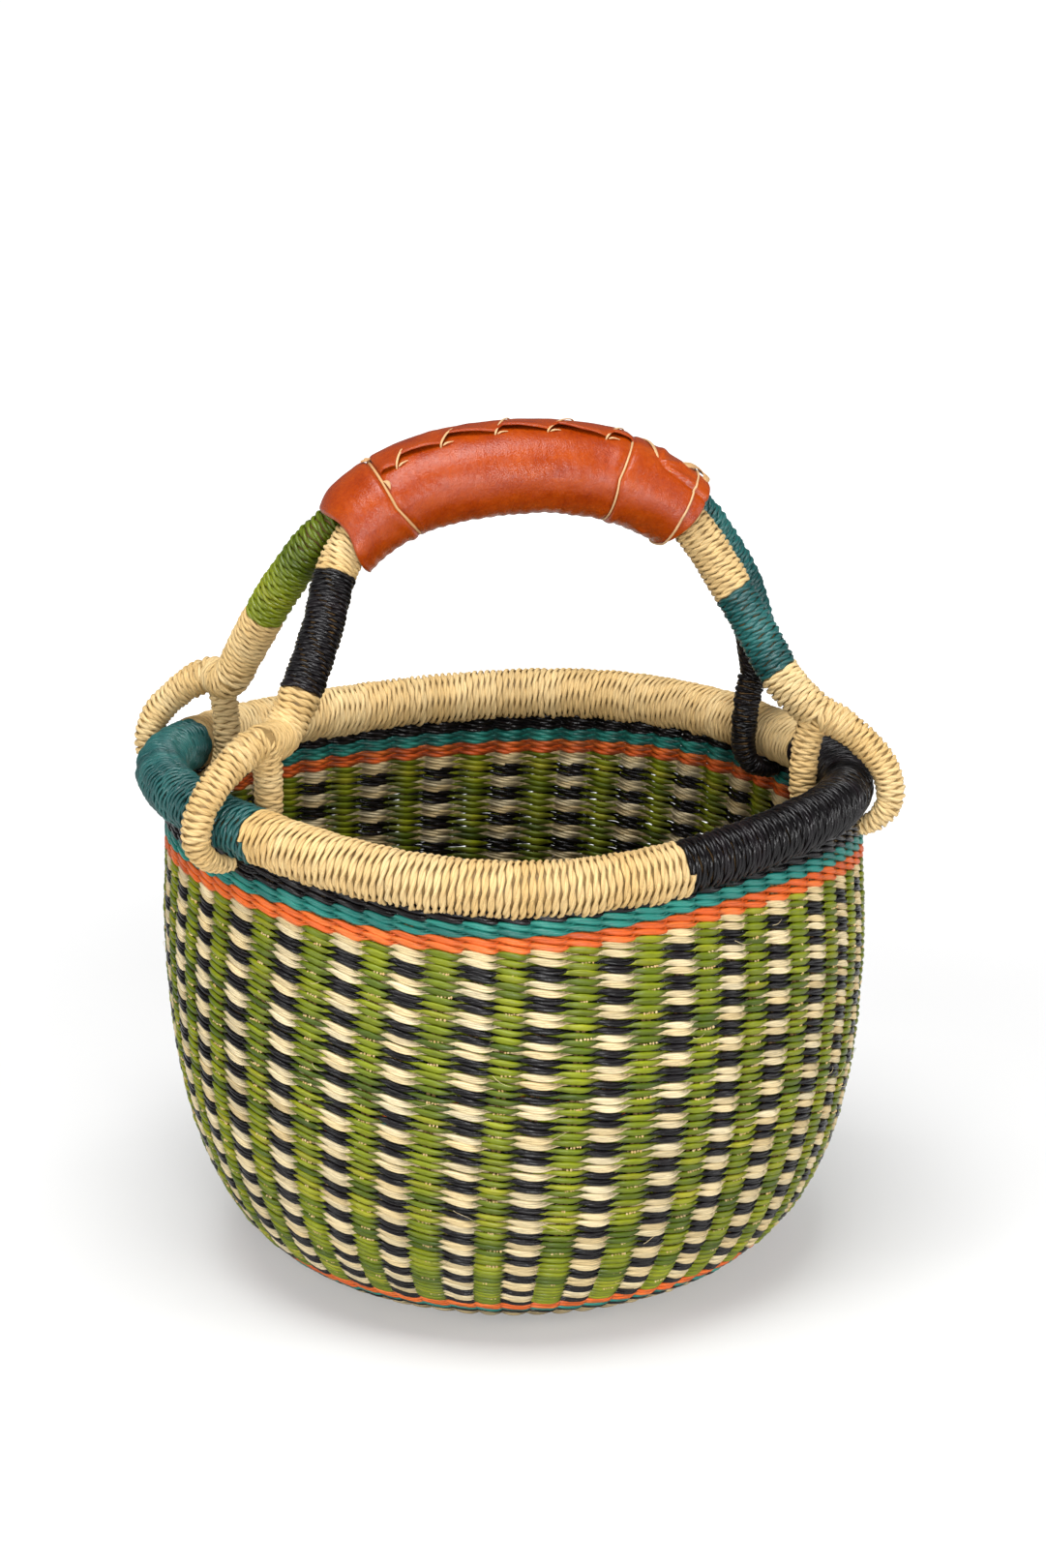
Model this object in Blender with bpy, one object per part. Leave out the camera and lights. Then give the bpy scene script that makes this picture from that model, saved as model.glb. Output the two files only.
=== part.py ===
"""Bolga basket: a round twined bowl with a wrapped rim and an arched handle.

Metres, +Z up. The origin is on the floor under the middle of the bowl, and the handle runs along X.
"""

import math

import bmesh
import bpy
from mathutils import Vector

# Bowl
BOWL_RADIUS = 0.1338          # outside, at the fullest height
BOWL_HEIGHT = 0.1760          # nominal height of the twined wall
WALL_THICKNESS = 0.0050       # stakes with one strand on each side
SEAM_GAP = 0.0003             # clearance between pieces that touch
FOOT_RADIUS = 0.0620          # flat part of the base that rests on the floor
# Outside of the wall: shares of the bowl's height and of its radius
WALL_OUTLINE_SHARES = (
    (0.0075, 0.570), (0.0284, 0.660), (0.0682, 0.738), (0.1250, 0.818), (0.2045, 0.886),
    (0.3125, 0.938), (0.4545, 0.975), (0.6000, 0.993), (0.7386, 1.000), (0.8523, 0.996),
    (1.0000, 0.990),
)

# Coloured bands of twining: upper edges of the lower ones, from the floor
TWINED_BASE_TOP = 0.0071
TEAL_BLACK_TOP = 0.0127
LOWER_ORANGE_TOP = 0.0181
# Heights of the upper bands, which are counted down from the top of the wall
ORANGE_BAND_TALL = 0.0052
TEAL_BAND_TALL = 0.0051
BLACK_BAND_TALL = 0.0049
LEAST_BLACK_BAND = 0.0015     # what is left of the black band where the rows rise to the rim
TEAL_TOP = BOWL_HEIGHT - BLACK_BAND_TALL
ORANGE_TOP = TEAL_TOP - TEAL_BAND_TALL
CHECK_TOP = ORANGE_TOP - ORANGE_BAND_TALL
# The rows rise and dip by hand: shares of the rise, level and by multiples of the angle
ROW_RISE = 0.0024
ROW_RISE_SHARES = (
    (0.0, 0.64, 0.0), (1.0, -0.71, -0.65), (2.0, 0.02, -0.39), (3.0, -1.0, -0.25), (4.0, -0.45, 0.20),
)
RISE_FULL = 0.0500            # height at which the rows have their whole rise
EYE_DIP = 0.0044              # how far each eye presses the upper rows down
EYE_DIP_DEGREES = 14.0        # to each side of an eye
EYE_DIP_STARTS = 0.1200       # height above which the rows give way to the eyes
FLARE_STARTS = 0.1400         # height above which the wall turns towards the rim
WALL_TOP_LENGTH = 0.2654      # outside of the wall's top, along the handle
WALL_TOP_WIDTH = 0.2556       # outside of the wall's top, across the handle

# Rim
RIM_LENGTH = 0.2590           # centre line, along the handle
RIM_WIDTH = 0.2490            # centre line, across the handle
RIM_SHIFT = -0.0036           # centre of the rim, along X
RIM_SEAT = 0.0118             # mean height of the centre line above the wall
RIM_HEIGHT = BOWL_HEIGHT + RIM_SEAT
RIM_THICKNESS = 0.0204        # over the wrap
RIM_CORE_THICKNESS = 0.0140
RIM_CORE_GAP = 0.0008         # between the core and its wrap, for the facets of both
RIM_WALL_GAP = 0.0009         # between the wall's top and the wrap, for the facets of both
# The rim rises and dips by hand: shares of the rise by multiples of the angle
RIM_RISE = 0.0025
RIM_RISE_SHARES = ((1.0, -1.16, -0.12), (2.0, 0.96, 0.12), (3.0, -1.0, -0.64), (4.0, -0.32, 0.0))
# Wrap colours round the rim: name, first and last angle in degrees
RIM_WRAPS = (
    ("rim_wrap_natural_back", 12.0, 150.0),
    ("rim_wrap_teal_left", 150.0, 216.0),
    ("rim_wrap_natural_front", 216.0, 287.0),
    ("rim_wrap_black_right", 287.0, 372.0),
)
WRAP_END_GAP_DEGREES = 0.15

# Handle eyes, the loops that hold the rim
EYE_TURNS = {"front_left": 210.0, "front_right": 339.5, "back_left": 151.0, "back_right": 22.5}
EYE_REACH = 0.0163            # leg centre to rim centre, sideways
EYE_DROP = 0.0140             # leg centre to rim centre, below
EYE_RISE = 0.0285             # fork to rim centre, above
LEG_THICKNESS = 0.0118
STEM_THICKNESS = 0.0165
# Loop round the rim: outward share of the reach, height share (of the rise, or of the drop when
# below the rim), thickness share of the leg
EYE_LOOP_SHARES = (
    (-0.66, 1.00, 1.10), (-0.18, 0.90, 1.10), (0.34, 0.68, 1.08), (0.80, 0.40, 1.05),
    (1.00, 0.10, 1.02), (0.98, -0.32, 0.92), (0.66, -0.76, 0.74), (0.18, -0.98, 0.52),
    (-0.32, -0.97, 0.52), (-0.74, -0.70, 0.72), (-0.97, -0.22, 0.92), (-1.00, 0.16, 0.96),
    (-0.97, 0.46, 0.98), (-0.88, 0.76, 1.02),
)
NOTCH_LEG_SHARE = 0.68        # thickness of the leg where it passes through the top bands
NOTCH_FOOT_SHARE = 0.54       # thickness of the leg at its lowest
NOTCH_CLEARANCE = 0.0006      # between an eye and the opening it passes through in the top bands

# Handle arches
ARCH_REACH = 0.1000           # along X, from the middle
ARCH_SPREAD = 0.0400          # along Y, from the middle
ARCH_RISE = 0.1182            # crown of the centre line above the rim's mean height
ARCH_CORE_THICKNESS = 0.0100
# Routes from the left fork over the crown to the right fork: shares of reach, spread and rise
FRONT_ARCH_SHARES = (
    (-0.957, -1.03, 0.268), (-0.863, -0.86, 0.392), (-0.766, -0.60, 0.565), (-0.679, -0.30, 0.745),
    (-0.520, -0.215, 0.895), (-0.270, -0.208, 0.975), (0.030, -0.208, 1.000), (0.330, -0.208, 0.970),
    (0.560, -0.220, 0.885), (0.680, -0.31, 0.778), (0.798, -0.47, 0.608), (0.871, -0.59, 0.492),
    (0.971, -0.77, 0.329),
)
BACK_ARCH_SHARES = (
    (-1.018, 1.10, 0.275), (-0.967, 0.95, 0.375), (-0.904, 0.74, 0.503), (-0.841, 0.56, 0.615),
    (-0.710, 0.28, 0.790), (-0.520, 0.215, 0.900), (-0.270, 0.208, 0.975), (0.030, 0.208, 1.000),
    (0.330, 0.208, 0.970), (0.560, 0.220, 0.890), (0.720, 0.31, 0.820), (0.850, 0.46, 0.680),
    (0.950, 0.60, 0.540), (1.030, 0.83, 0.360),
)
# Places along X where the colours change
FRONT_STEM_ENDS = (-0.0865, 0.0946)
BACK_STEM_ENDS = (-0.0902, 0.1030)
FRONT_WINDINGS = (
    ("front_left_black_winding", -0.0862, -0.0701),
    ("front_left_natural_winding", -0.0697, -0.0656),
    ("front_right_natural_winding", 0.0644, 0.0794),
    ("front_right_teal_winding", 0.0798, 0.0943),
)
BACK_WINDINGS = (
    ("back_left_green_winding", -0.0899, -0.0690),
    ("back_right_teal_winding", 0.0675, 0.1027),
)
GRIP_ENDS = (-0.0650, 0.0638)  # ends of the leather and of what it covers
WINDING_CORD = 0.0025
WINDING_PITCH = 0.0039
WINDING_POINTS = 10
WINDING_SIDES = 5
WINDING_MOST_LOOPS = 24
WINDING_LEAST_GAP = 0.0004
WINDING_CORE_GAP = 0.0008     # between the core and the cord, for the facets of both

# Grip
GRIP_MIDDLE_SHARE = 0.375     # the even stretch of the grip, before its ends
BUNDLE_WIDTH = 0.0158
BUNDLE_TALL = 0.0212
BUNDLE_END_TALL_SHARE = 0.76
LEATHER_WIDTH = 0.0372
LEATHER_TALL = 0.0334
LEATHER_THICKNESS = 0.0016
LEATHER_END_WIDTH_SHARE = 1.15
LEATHER_END_TALL_SHARE = 0.88
LEATHER_SIDES = 16
THREAD_THICKNESS = 0.0011
THREAD_PLACES = (-0.0455, 0.0412)  # places along X of the two binding threads
THONG_THICKNESS = 0.0013
THONG_REACH = 0.0026          # how far the thong crosses the seam each way
THONG_STITCHES = 6
THONG_CROSSING_SHARES = (0.30, 0.65)   # along a stitch, where it has crossed and where it is half back
THONG_ENDS = (-0.0400, 0.0330)     # places along X of its first and last stitch
SEAM_TURN_DEGREES = 75.0      # the seam's place on the leather, from its front side up

# Fineness
BOWL_SEGMENTS = 46
RIM_SEGMENTS = 48
RIM_SIDES = 10
CORE_SIDES = 8
LEG_SIDES = 10
STEM_SIDES = 12
ARCH_STATIONS = 26
GRIP_STATIONS = 20
STEM_STATIONS = 6
THONG_STEPS = 5               # places along the thong for each stitch

ALONG_Y = Vector((0.0, 1.0, 0.0))

NATURAL = (0.80, 0.62, 0.36, 1.0)
BLACK = (0.018, 0.017, 0.020, 1.0)
TEAL = (0.020, 0.170, 0.160, 1.0)
ORANGE = (0.85, 0.22, 0.040, 1.0)
GREEN = (0.150, 0.260, 0.020, 1.0)
CHECKED = (0.34, 0.36, 0.14, 1.0)
LEATHER = (0.480, 0.090, 0.018, 1.0)
GRASS = (0.55, 0.42, 0.22, 1.0)


def clear_scene():
    for item in list(bpy.data.objects):
        bpy.data.objects.remove(item, do_unlink=True)


def finish(name, mesh, colour, roughness):
    """Put a mesh in the scene under its own name, with a material of its own."""
    material = bpy.data.materials.new(name + "_finish")
    material.use_nodes = True
    shader = material.node_tree.nodes["Principled BSDF"]
    shader.inputs["Base Color"].default_value = colour
    shader.inputs["Roughness"].default_value = roughness
    shader.inputs["Metallic"].default_value = 0.0
    mesh.materials.append(material)
    piece = bpy.data.objects.new(name, mesh)
    bpy.context.scene.collection.objects.link(piece)
    return piece


def ring_mesh(name, rings, around, along):
    """Join rings of points into one closed skin.

    around says that each ring is a closed loop, and along that the last ring meets the first.
    An open run of rings gets a flat cap on each end.
    """
    shape = bmesh.new()
    rows = [[shape.verts.new(point) for point in ring] for ring in rings]
    count = len(rows[0])
    spans = len(rows) if along else len(rows) - 1
    for row in range(spans):
        near = rows[row]
        far = rows[(row + 1) % len(rows)]
        for spot in range(count if around else count - 1):
            after = (spot + 1) % count
            shape.faces.new((near[spot], near[after], far[after], far[spot]))
    if not along:
        shape.faces.new(list(reversed(rows[0])))
        shape.faces.new(rows[-1])
    bmesh.ops.recalc_face_normals(shape, faces=shape.faces)
    mesh = bpy.data.meshes.new(name)
    shape.to_mesh(mesh)
    shape.free()
    mesh.shade_smooth()
    mesh.set_sharp_from_angle(angle=math.radians(50.0))
    return mesh


def smooth_step(value):
    held = min(max(value, 0.0), 1.0)
    return held * held * (3.0 - 2.0 * held)


def wave(shares, angle):
    return sum(a * math.cos(k * angle) + b * math.sin(k * angle) for k, a, b in shares)


def rim_point(angle):
    """A point of the rim's centre line."""
    return Vector((
        RIM_SHIFT + RIM_LENGTH / 2.0 * math.cos(angle),
        RIM_WIDTH / 2.0 * math.sin(angle),
        RIM_HEIGHT + RIM_RISE * wave(RIM_RISE_SHARES, angle),
    ))


def rim_frame(angle):
    """The rim's centre, its outward direction and its upward direction at an angle."""
    small = math.radians(0.5)
    tangent = (rim_point(angle + small) - rim_point(angle - small)).normalized()
    outward = tangent.cross(Vector((0.0, 0.0, 1.0))).normalized()
    return rim_point(angle), outward, outward.cross(tangent).normalized()


def outline_radius(height):
    """Outside radius of the bowl at a nominal height."""
    table = [(0.0, FOOT_RADIUS)]
    table += [(h * BOWL_HEIGHT, r * BOWL_RADIUS) for h, r in WALL_OUTLINE_SHARES]
    place = 0
    while place < len(table) - 2 and table[place + 1][0] <= height:
        place += 1
    low, high = table[place], table[place + 1]
    share = min((height - low[0]) / (high[0] - low[0]), 1.0)
    return low[1] + (high[1] - low[1]) * share


def row_rise(angle):
    """How far the rows rise at an angle, less where the rim leaves the top bands no room for it."""
    room = RIM_SEAT + RIM_RISE * wave(RIM_RISE_SHARES, angle) - RIM_THICKNESS / 2.0 - RIM_WALL_GAP
    return min(ROW_RISE * wave(ROW_RISE_SHARES, angle), room + BLACK_BAND_TALL - LEAST_BLACK_BAND)


def eye_dip(angle):
    """How far the nearest eye presses the upper rows down at an angle."""
    near = min(abs((math.degrees(angle) - turn + 180.0) % 360.0 - 180.0) for turn in EYE_TURNS.values())
    return EYE_DIP * (0.5 + 0.5 * math.cos(math.pi * min(near / EYE_DIP_DEGREES, 1.0)))


def wall_point(angle, height, inset):
    """A point of the bowl's wall: inset 0 is its outside, and the wall thickness its inside."""
    step = BOWL_HEIGHT / 200.0
    above = outline_radius(min(height + step, BOWL_HEIGHT))
    below = outline_radius(max(height - step, 0.0))
    lean = Vector((2.0 * step, below - above)).normalized()
    level = height - inset * lean.y
    radius = outline_radius(height) - inset * lean.x
    drawn = smooth_step((height - FLARE_STARTS) / (BOWL_HEIGHT - FLARE_STARTS))
    along = radius + (WALL_TOP_LENGTH / 2.0 - inset - radius) * drawn
    aside = radius + (WALL_TOP_WIDTH / 2.0 - inset - radius) * drawn
    place = Vector((along * math.cos(angle), aside * math.sin(angle), 0.0))
    level += smooth_step((height - TWINED_BASE_TOP) / (RISE_FULL - TWINED_BASE_TOP)) * row_rise(angle)
    level -= smooth_step((height - EYE_DIP_STARTS) / (TEAL_TOP - EYE_DIP_STARTS)) * eye_dip(angle)
    centre, outward, _ = rim_frame(angle)
    if height > TEAL_TOP:
        reach = RIM_THICKNESS / 2.0 + RIM_WALL_GAP
        off = min(abs((place - centre).dot(outward)), reach)
        under_rim = centre.z - math.sqrt(reach * reach - off * off)
        level += (under_rim - level) * (height - TEAL_TOP) / BLACK_BAND_TALL
    return Vector((place.x, place.y, level))


def band(name, low, high, colour):
    """One coloured band of the bowl's wall, a closed ring of twining."""
    marks = [h * BOWL_HEIGHT for h, _ in WALL_OUTLINE_SHARES]
    low_edge = low + SEAM_GAP / 2.0
    high_edge = high - SEAM_GAP / 2.0
    between = [m for m in marks if low_edge + SEAM_GAP < m < high_edge - SEAM_GAP]
    heights = [low_edge] + between + [high_edge]
    rings = []
    for spot in range(BOWL_SEGMENTS):
        angle = 2.0 * math.pi * spot / BOWL_SEGMENTS
        outside = [wall_point(angle, height, 0.0) for height in heights]
        inside = [wall_point(angle, height, WALL_THICKNESS) for height in reversed(heights)]
        rings.append(outside + inside)
    mesh = ring_mesh(name, rings, around=True, along=True)
    return finish(name, mesh, colour, 0.55)


def twined_base():
    """The round base: flat under its foot, turned up at its edge."""
    marks = [h * BOWL_HEIGHT for h, _ in WALL_OUTLINE_SHARES]
    top = TWINED_BASE_TOP - SEAM_GAP / 2.0
    heights = [m for m in marks if m < top - SEAM_GAP] + [top]
    angles = [2.0 * math.pi * spot / BOWL_SEGMENTS for spot in range(BOWL_SEGMENTS)]
    foot = [Vector((math.cos(angle), math.sin(angle), 0.0)) * FOOT_RADIUS for angle in angles]
    floor = Vector((0.0, 0.0, WALL_THICKNESS))
    rings = [foot]
    rings += [[wall_point(angle, height, 0.0) for angle in angles] for height in heights]
    rings += [[wall_point(angle, height, WALL_THICKNESS) for angle in angles] for height in reversed(heights)]
    rings.append([point + floor for point in foot])
    return finish("twined_base", ring_mesh("twined_base", rings, around=True, along=False), NATURAL, 0.6)


def smooth_route(points, count):
    """A smooth line through the points, as count + 1 places at even steps along it."""
    fine = []
    steps = 24
    for spot in range(len(points) - 1):
        before = points[max(spot - 1, 0)]
        start = points[spot]
        end = points[spot + 1]
        after = points[min(spot + 2, len(points) - 1)]
        for step in range(steps):
            share = step / steps
            fine.append(
                start
                + (end - before) * (share / 2.0)
                + (before * 2.0 - start * 5.0 + end * 4.0 - after) * (share ** 2 / 2.0)
                + (start * 3.0 - before - end * 3.0 + after) * (share ** 3 / 2.0)
            )
    fine.append(points[-1].copy())
    lengths = [0.0]
    for near, far in zip(fine, fine[1:]):
        lengths.append(lengths[-1] + (far - near).length)
    route = []
    spot = 0
    for station in range(count + 1):
        wanted = lengths[-1] * station / count
        while spot < len(fine) - 2 and lengths[spot + 1] < wanted:
            spot += 1
        share = (wanted - lengths[spot]) / (lengths[spot + 1] - lengths[spot])
        route.append(fine[spot].lerp(fine[spot + 1], min(share, 1.0)))
    return route


def piece_of(route, first_share, last_share, count):
    """Part of an even route, as count + 1 places."""
    places = []
    for station in range(count + 1):
        share = first_share + (last_share - first_share) * station / count
        spot = min(max(share, 0.0), 1.0) * (len(route) - 1)
        low = min(int(spot), len(route) - 2)
        places.append(route[low].lerp(route[low + 1], spot - low))
    return places


def ways_of(route, first_share, last_share, count):
    """Direction of a route at each place that piece_of gives."""
    step = 1.0 / (len(route) - 1)
    ahead = piece_of(route, first_share + step, last_share + step, count)
    behind = piece_of(route, first_share - step, last_share - step, count)
    facing = 1.0 if last_share > first_share else -1.0
    return [(a - b).normalized() * facing for a, b in zip(ahead, behind)]


def tangents(places, closed):
    ways = []
    for spot in range(len(places)):
        before = places[spot - 1] if closed or spot else places[0]
        after = places[(spot + 1) % len(places)] if closed or spot < len(places) - 1 else places[-1]
        ways.append((after - before).normalized())
    return ways


def oval(centre, side, up, half_width, half_tall, sides):
    ring = []
    for spot in range(sides):
        turn = 2.0 * math.pi * (spot + 0.5) / sides
        ring.append(centre + side * (half_width * math.cos(turn)) + up * (half_tall * math.sin(turn)))
    return ring


def across(way, hint):
    """The hint turned square to a direction, and the direction square to both."""
    side = (hint - way * hint.dot(way)).normalized()
    return side, way.cross(side)


def tube(name, places, radii, hint, closed, sides, ways=None):
    """A solid tube along places; hint is one direction, or one for each place."""
    rings = []
    for spot, way in enumerate(ways or tangents(places, closed)):
        lead = hint[spot] if isinstance(hint, list) else hint
        side, up = across(way, lead)
        rings.append(oval(places[spot], side, up, radii[spot], radii[spot], sides))
    return ring_mesh(name, rings, around=True, along=closed)


def sleeve_mesh(name, outer_rings, inner_rings):
    """A skin with a bore right through: both ends are flat rims."""
    shape = bmesh.new()
    outer = [[shape.verts.new(point) for point in ring] for ring in outer_rings]
    inner = [[shape.verts.new(point) for point in ring] for ring in inner_rings]
    count = len(outer[0])
    for spot in range(count):
        after = (spot + 1) % count
        for near, far in zip(outer, outer[1:]):
            shape.faces.new((near[spot], near[after], far[after], far[spot]))
        for near, far in zip(inner, inner[1:]):
            shape.faces.new((near[spot], far[spot], far[after], near[after]))
        for end in (0, -1):
            shape.faces.new((outer[end][spot], outer[end][after], inner[end][after], inner[end][spot]))
    bmesh.ops.recalc_face_normals(shape, faces=shape.faces)
    mesh = bpy.data.meshes.new(name)
    shape.to_mesh(mesh)
    shape.free()
    mesh.shade_smooth()
    mesh.set_sharp_from_angle(angle=math.radians(50.0))
    return mesh


def rim_core():
    """The hoop: a bundle of grass with the ends of the stakes turned into it."""
    rings = []
    for spot in range(RIM_SEGMENTS):
        centre, outward, up = rim_frame(2.0 * math.pi * spot / RIM_SEGMENTS)
        half = RIM_CORE_THICKNESS / 2.0
        rings.append(oval(centre, outward, up, half, half, CORE_SIDES))
    mesh = ring_mesh("rim_core", rings, around=True, along=True)
    return finish("rim_core", mesh, GRASS, 0.7)


def rim_wrap(name, first, last, colour, roughness):
    """The wrap of one colour round part of the rim."""
    count = max(2, round((last - first) * RIM_SEGMENTS / 360.0))
    outer = []
    inner = []
    for spot in range(count + 1):
        degrees = first + WRAP_END_GAP_DEGREES + (last - first - 2.0 * WRAP_END_GAP_DEGREES) * spot / count
        centre, outward, up = rim_frame(math.radians(degrees))
        half = RIM_THICKNESS / 2.0
        bore = RIM_CORE_THICKNESS / 2.0 + RIM_CORE_GAP
        outer.append(oval(centre, outward, up, half, half, RIM_SIDES))
        inner.append(oval(centre, outward, up, bore, bore, RIM_SIDES))
    return finish(name, sleeve_mesh(name, outer, inner), colour, roughness)


def eye_places(name):
    """Centre line and thickness of the loop that an eye makes round the rim."""
    centre, outward, up = rim_frame(math.radians(EYE_TURNS[name]))
    places = []
    radii = []
    for reach, rise, thick in EYE_LOOP_SHARES:
        tall = EYE_RISE if rise > 0.0 else EYE_DROP
        places.append(centre + outward * (reach * EYE_REACH) + up * (rise * tall))
        radii.append(thick * LEG_THICKNESS / 2.0)
    return places, radii


def arch_route(shares, left, right):
    """The centre line of an arch, from its left fork over the crown to its right fork."""
    points = [eye_places(left)[0][0]]
    for along, aside, rise in shares:
        points.append(Vector((along * ARCH_REACH, aside * ARCH_SPREAD, RIM_HEIGHT + rise * ARCH_RISE)))
    points.append(eye_places(right)[0][0])
    return smooth_route(points, 240)


def eye(name, route, part, colour, roughness):
    """A forked handle end: a stem that parts into two legs and closes round the rim."""
    places, radii = eye_places(name)
    _, outward, _ = rim_frame(math.radians(EYE_TURNS[name]))
    across_rim = outward.cross(Vector((0.0, 0.0, 1.0)))
    loop_mesh = tube(name, places, radii, across_rim, closed=True, sides=LEG_SIDES)
    loop = finish(name + "_eye", loop_mesh, colour, roughness)
    start = radii[0]
    growth = [
        start + (STEM_THICKNESS / 2.0 - start) * min(1.0, 2.0 * spot / STEM_STATIONS)
        for spot in range(STEM_STATIONS + 1)
    ]
    stem = piece_of(route, *part, STEM_STATIONS)
    ways = ways_of(route, *part, STEM_STATIONS)
    trunk_mesh = tube(name + "_stem", stem, growth, ALONG_Y, closed=False, sides=STEM_SIDES, ways=ways)
    trunk = finish(name + "_stem_guide", trunk_mesh, colour, roughness)
    hide_guide(trunk)
    joint = loop.modifiers.new("stem", "BOOLEAN")
    joint.operation = "UNION"
    joint.solver = "EXACT"
    joint.object = trunk
    return loop


def hide_guide(item):
    item.hide_render = True
    item.display_type = "WIRE"


def notch(name):
    """The space that an eye needs where it passes under the rim."""
    centre, outward, up = rim_frame(math.radians(EYE_TURNS[name]))
    forward = up.cross(outward)
    leg = NOTCH_LEG_SHARE * LEG_THICKNESS / 2.0 + NOTCH_CLEARANCE
    low = -EYE_DROP - NOTCH_FOOT_SHARE * LEG_THICKNESS / 2.0 - NOTCH_CLEARANCE
    high = -RIM_THICKNESS / 2.0 + leg
    shape = bmesh.new()
    corners = []
    for level in (low, high):
        for aside, along in ((-1, -1), (1, -1), (1, 1), (-1, 1)):
            spot = centre + outward * (aside * EYE_REACH) + forward * (along * leg) + up * level
            corners.append(shape.verts.new(spot))
    for face in ((3, 2, 1, 0), (4, 5, 6, 7), (0, 1, 5, 4), (1, 2, 6, 5), (2, 3, 7, 6), (3, 0, 4, 7)):
        shape.faces.new([corners[i] for i in face])
    bmesh.ops.recalc_face_normals(shape, faces=shape.faces)
    mesh = bpy.data.meshes.new(name + "_notch_guide")
    shape.to_mesh(mesh)
    shape.free()
    guide = finish(name + "_notch_guide", mesh, BLACK, 0.5)
    hide_guide(guide)
    return guide


def route_length(route):
    return sum((far - near).length for near, far in zip(route, route[1:]))


def share_at(route, along):
    """How far along a route it passes a place on X."""
    for spot in range(len(route) - 1):
        near, far = route[spot].x, route[spot + 1].x
        if near <= along <= far:
            return (spot + (along - near) / (far - near)) / (len(route) - 1)
    return 0.0 if along < route[0].x else 1.0


def arch_core(name, route, ends):
    """The bundle of grass inside an arch, from one stem to the other."""
    gap = SEAM_GAP / route_length(route)
    part = (share_at(route, ends[0]) + gap, share_at(route, ends[1]) - gap, ARCH_STATIONS)
    places = piece_of(route, *part)
    radii = [ARCH_CORE_THICKNESS / 2.0] * len(places)
    ways = ways_of(route, *part)
    mesh = tube(name, places, radii, ALONG_Y, closed=False, sides=CORE_SIDES, ways=ways)
    return finish(name, mesh, GRASS, 0.7)


def winding(name, route, ends, colour, roughness):
    """A cord wound round an arch: one unbroken tube with its loops side by side."""
    first = share_at(route, ends[0])
    last = share_at(route, ends[1])
    length = (last - first) * route_length(route)
    loops = min(WINDING_MOST_LOOPS, int((length - WINDING_CORD) / WINDING_PITCH))
    count = loops * WINDING_POINTS
    margin = (last - first) * (length - loops * WINDING_PITCH) / length / 2.0
    centres = piece_of(route, first + margin, last - margin, count)
    reach = ARCH_CORE_THICKNESS / 2.0 + WINDING_CORE_GAP + WINDING_CORD / 2.0
    ways = tangents(centres, False)
    places = []
    for spot, way in enumerate(ways):
        side, up = across(way, ALONG_Y)
        turn = 2.0 * math.pi * spot / WINDING_POINTS
        places.append(centres[spot] + side * (reach * math.cos(turn)) + up * (reach * math.sin(turn)))
    ends_way = tangents(places, False)
    places.insert(0, places[0] - ends_way[0] * WINDING_CORD)
    places.append(places[-1] + ends_way[-1] * WINDING_CORD)
    hints = [ways[0]] + ways + [ways[-1]]
    print_least_gap(name, places, loops)
    radii = [WINDING_CORD / 2.0] * len(places)
    mesh = tube(name, places, radii, hints, closed=False, sides=WINDING_SIDES)
    return finish(name, mesh, colour, roughness)


def print_least_gap(name, places, loops):
    """Print how close a winding comes to itself, measured on its points."""
    apart = WINDING_POINTS // 2
    least = min(
        (places[i] - places[j]).length
        for i in range(len(places))
        for j in range(i + apart, min(i + 2 * WINDING_POINTS, len(places)))
    )
    gap = least - WINDING_CORD
    verdict = "clear" if gap > WINDING_LEAST_GAP else "too close"
    print(f"{name}: {loops} loops, least gap {gap:.5f} m, {verdict}")


def grip_part(route):
    return piece_of(route, share_at(route, GRIP_ENDS[0]), share_at(route, GRIP_ENDS[1]), GRIP_STATIONS)


def end_share(share):
    """0 along the middle of the grip, rising to 1 at both of its ends."""
    return smooth_step((abs(2.0 * share - 1.0) - GRIP_MIDDLE_SHARE) / (1.0 - GRIP_MIDDLE_SHARE))


def grip_bundle(name, route):
    """The thicker part of an arch under the leather, round the arch's core."""
    places = grip_part(route)
    bore = ARCH_CORE_THICKNESS / 2.0 + WINDING_CORE_GAP
    outer = []
    inner = []
    for spot, way in enumerate(tangents(places, False)):
        side, up = across(way, ALONG_Y)
        tall = BUNDLE_TALL / 2.0 * (1.0 + (BUNDLE_END_TALL_SHARE - 1.0) * end_share(spot / GRIP_STATIONS))
        outer.append(oval(places[spot], side, up, BUNDLE_WIDTH / 2.0, tall, CORE_SIDES))
        inner.append(oval(places[spot], side, up, bore, bore, CORE_SIDES))
    return finish(name, sleeve_mesh(name, outer, inner), NATURAL, 0.6)


def leather_section(share):
    """Half width and half height of the leather's outside at a share of its length."""
    end = end_share(share)
    wide = LEATHER_WIDTH / 2.0 * (1.0 + (LEATHER_END_WIDTH_SHARE - 1.0) * end)
    tall = LEATHER_TALL / 2.0 * (1.0 + (LEATHER_END_TALL_SHARE - 1.0) * end)
    return wide, tall


def leather_grip(middle):
    """The leather sewn round both arches."""
    outer = []
    inner = []
    count = len(middle) - 1
    for spot, way in enumerate(tangents(middle, False)):
        side, up = across(way, ALONG_Y)
        wide, tall = leather_section(spot / count)
        outer.append(oval(middle[spot], side, up, wide, tall, LEATHER_SIDES))
        bore_wide = wide - LEATHER_THICKNESS
        bore_tall = tall - LEATHER_THICKNESS
        inner.append(oval(middle[spot], side, up, bore_wide, bore_tall, LEATHER_SIDES))
    return finish("leather_grip", sleeve_mesh("leather_grip", outer, inner), LEATHER, 0.35)


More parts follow.
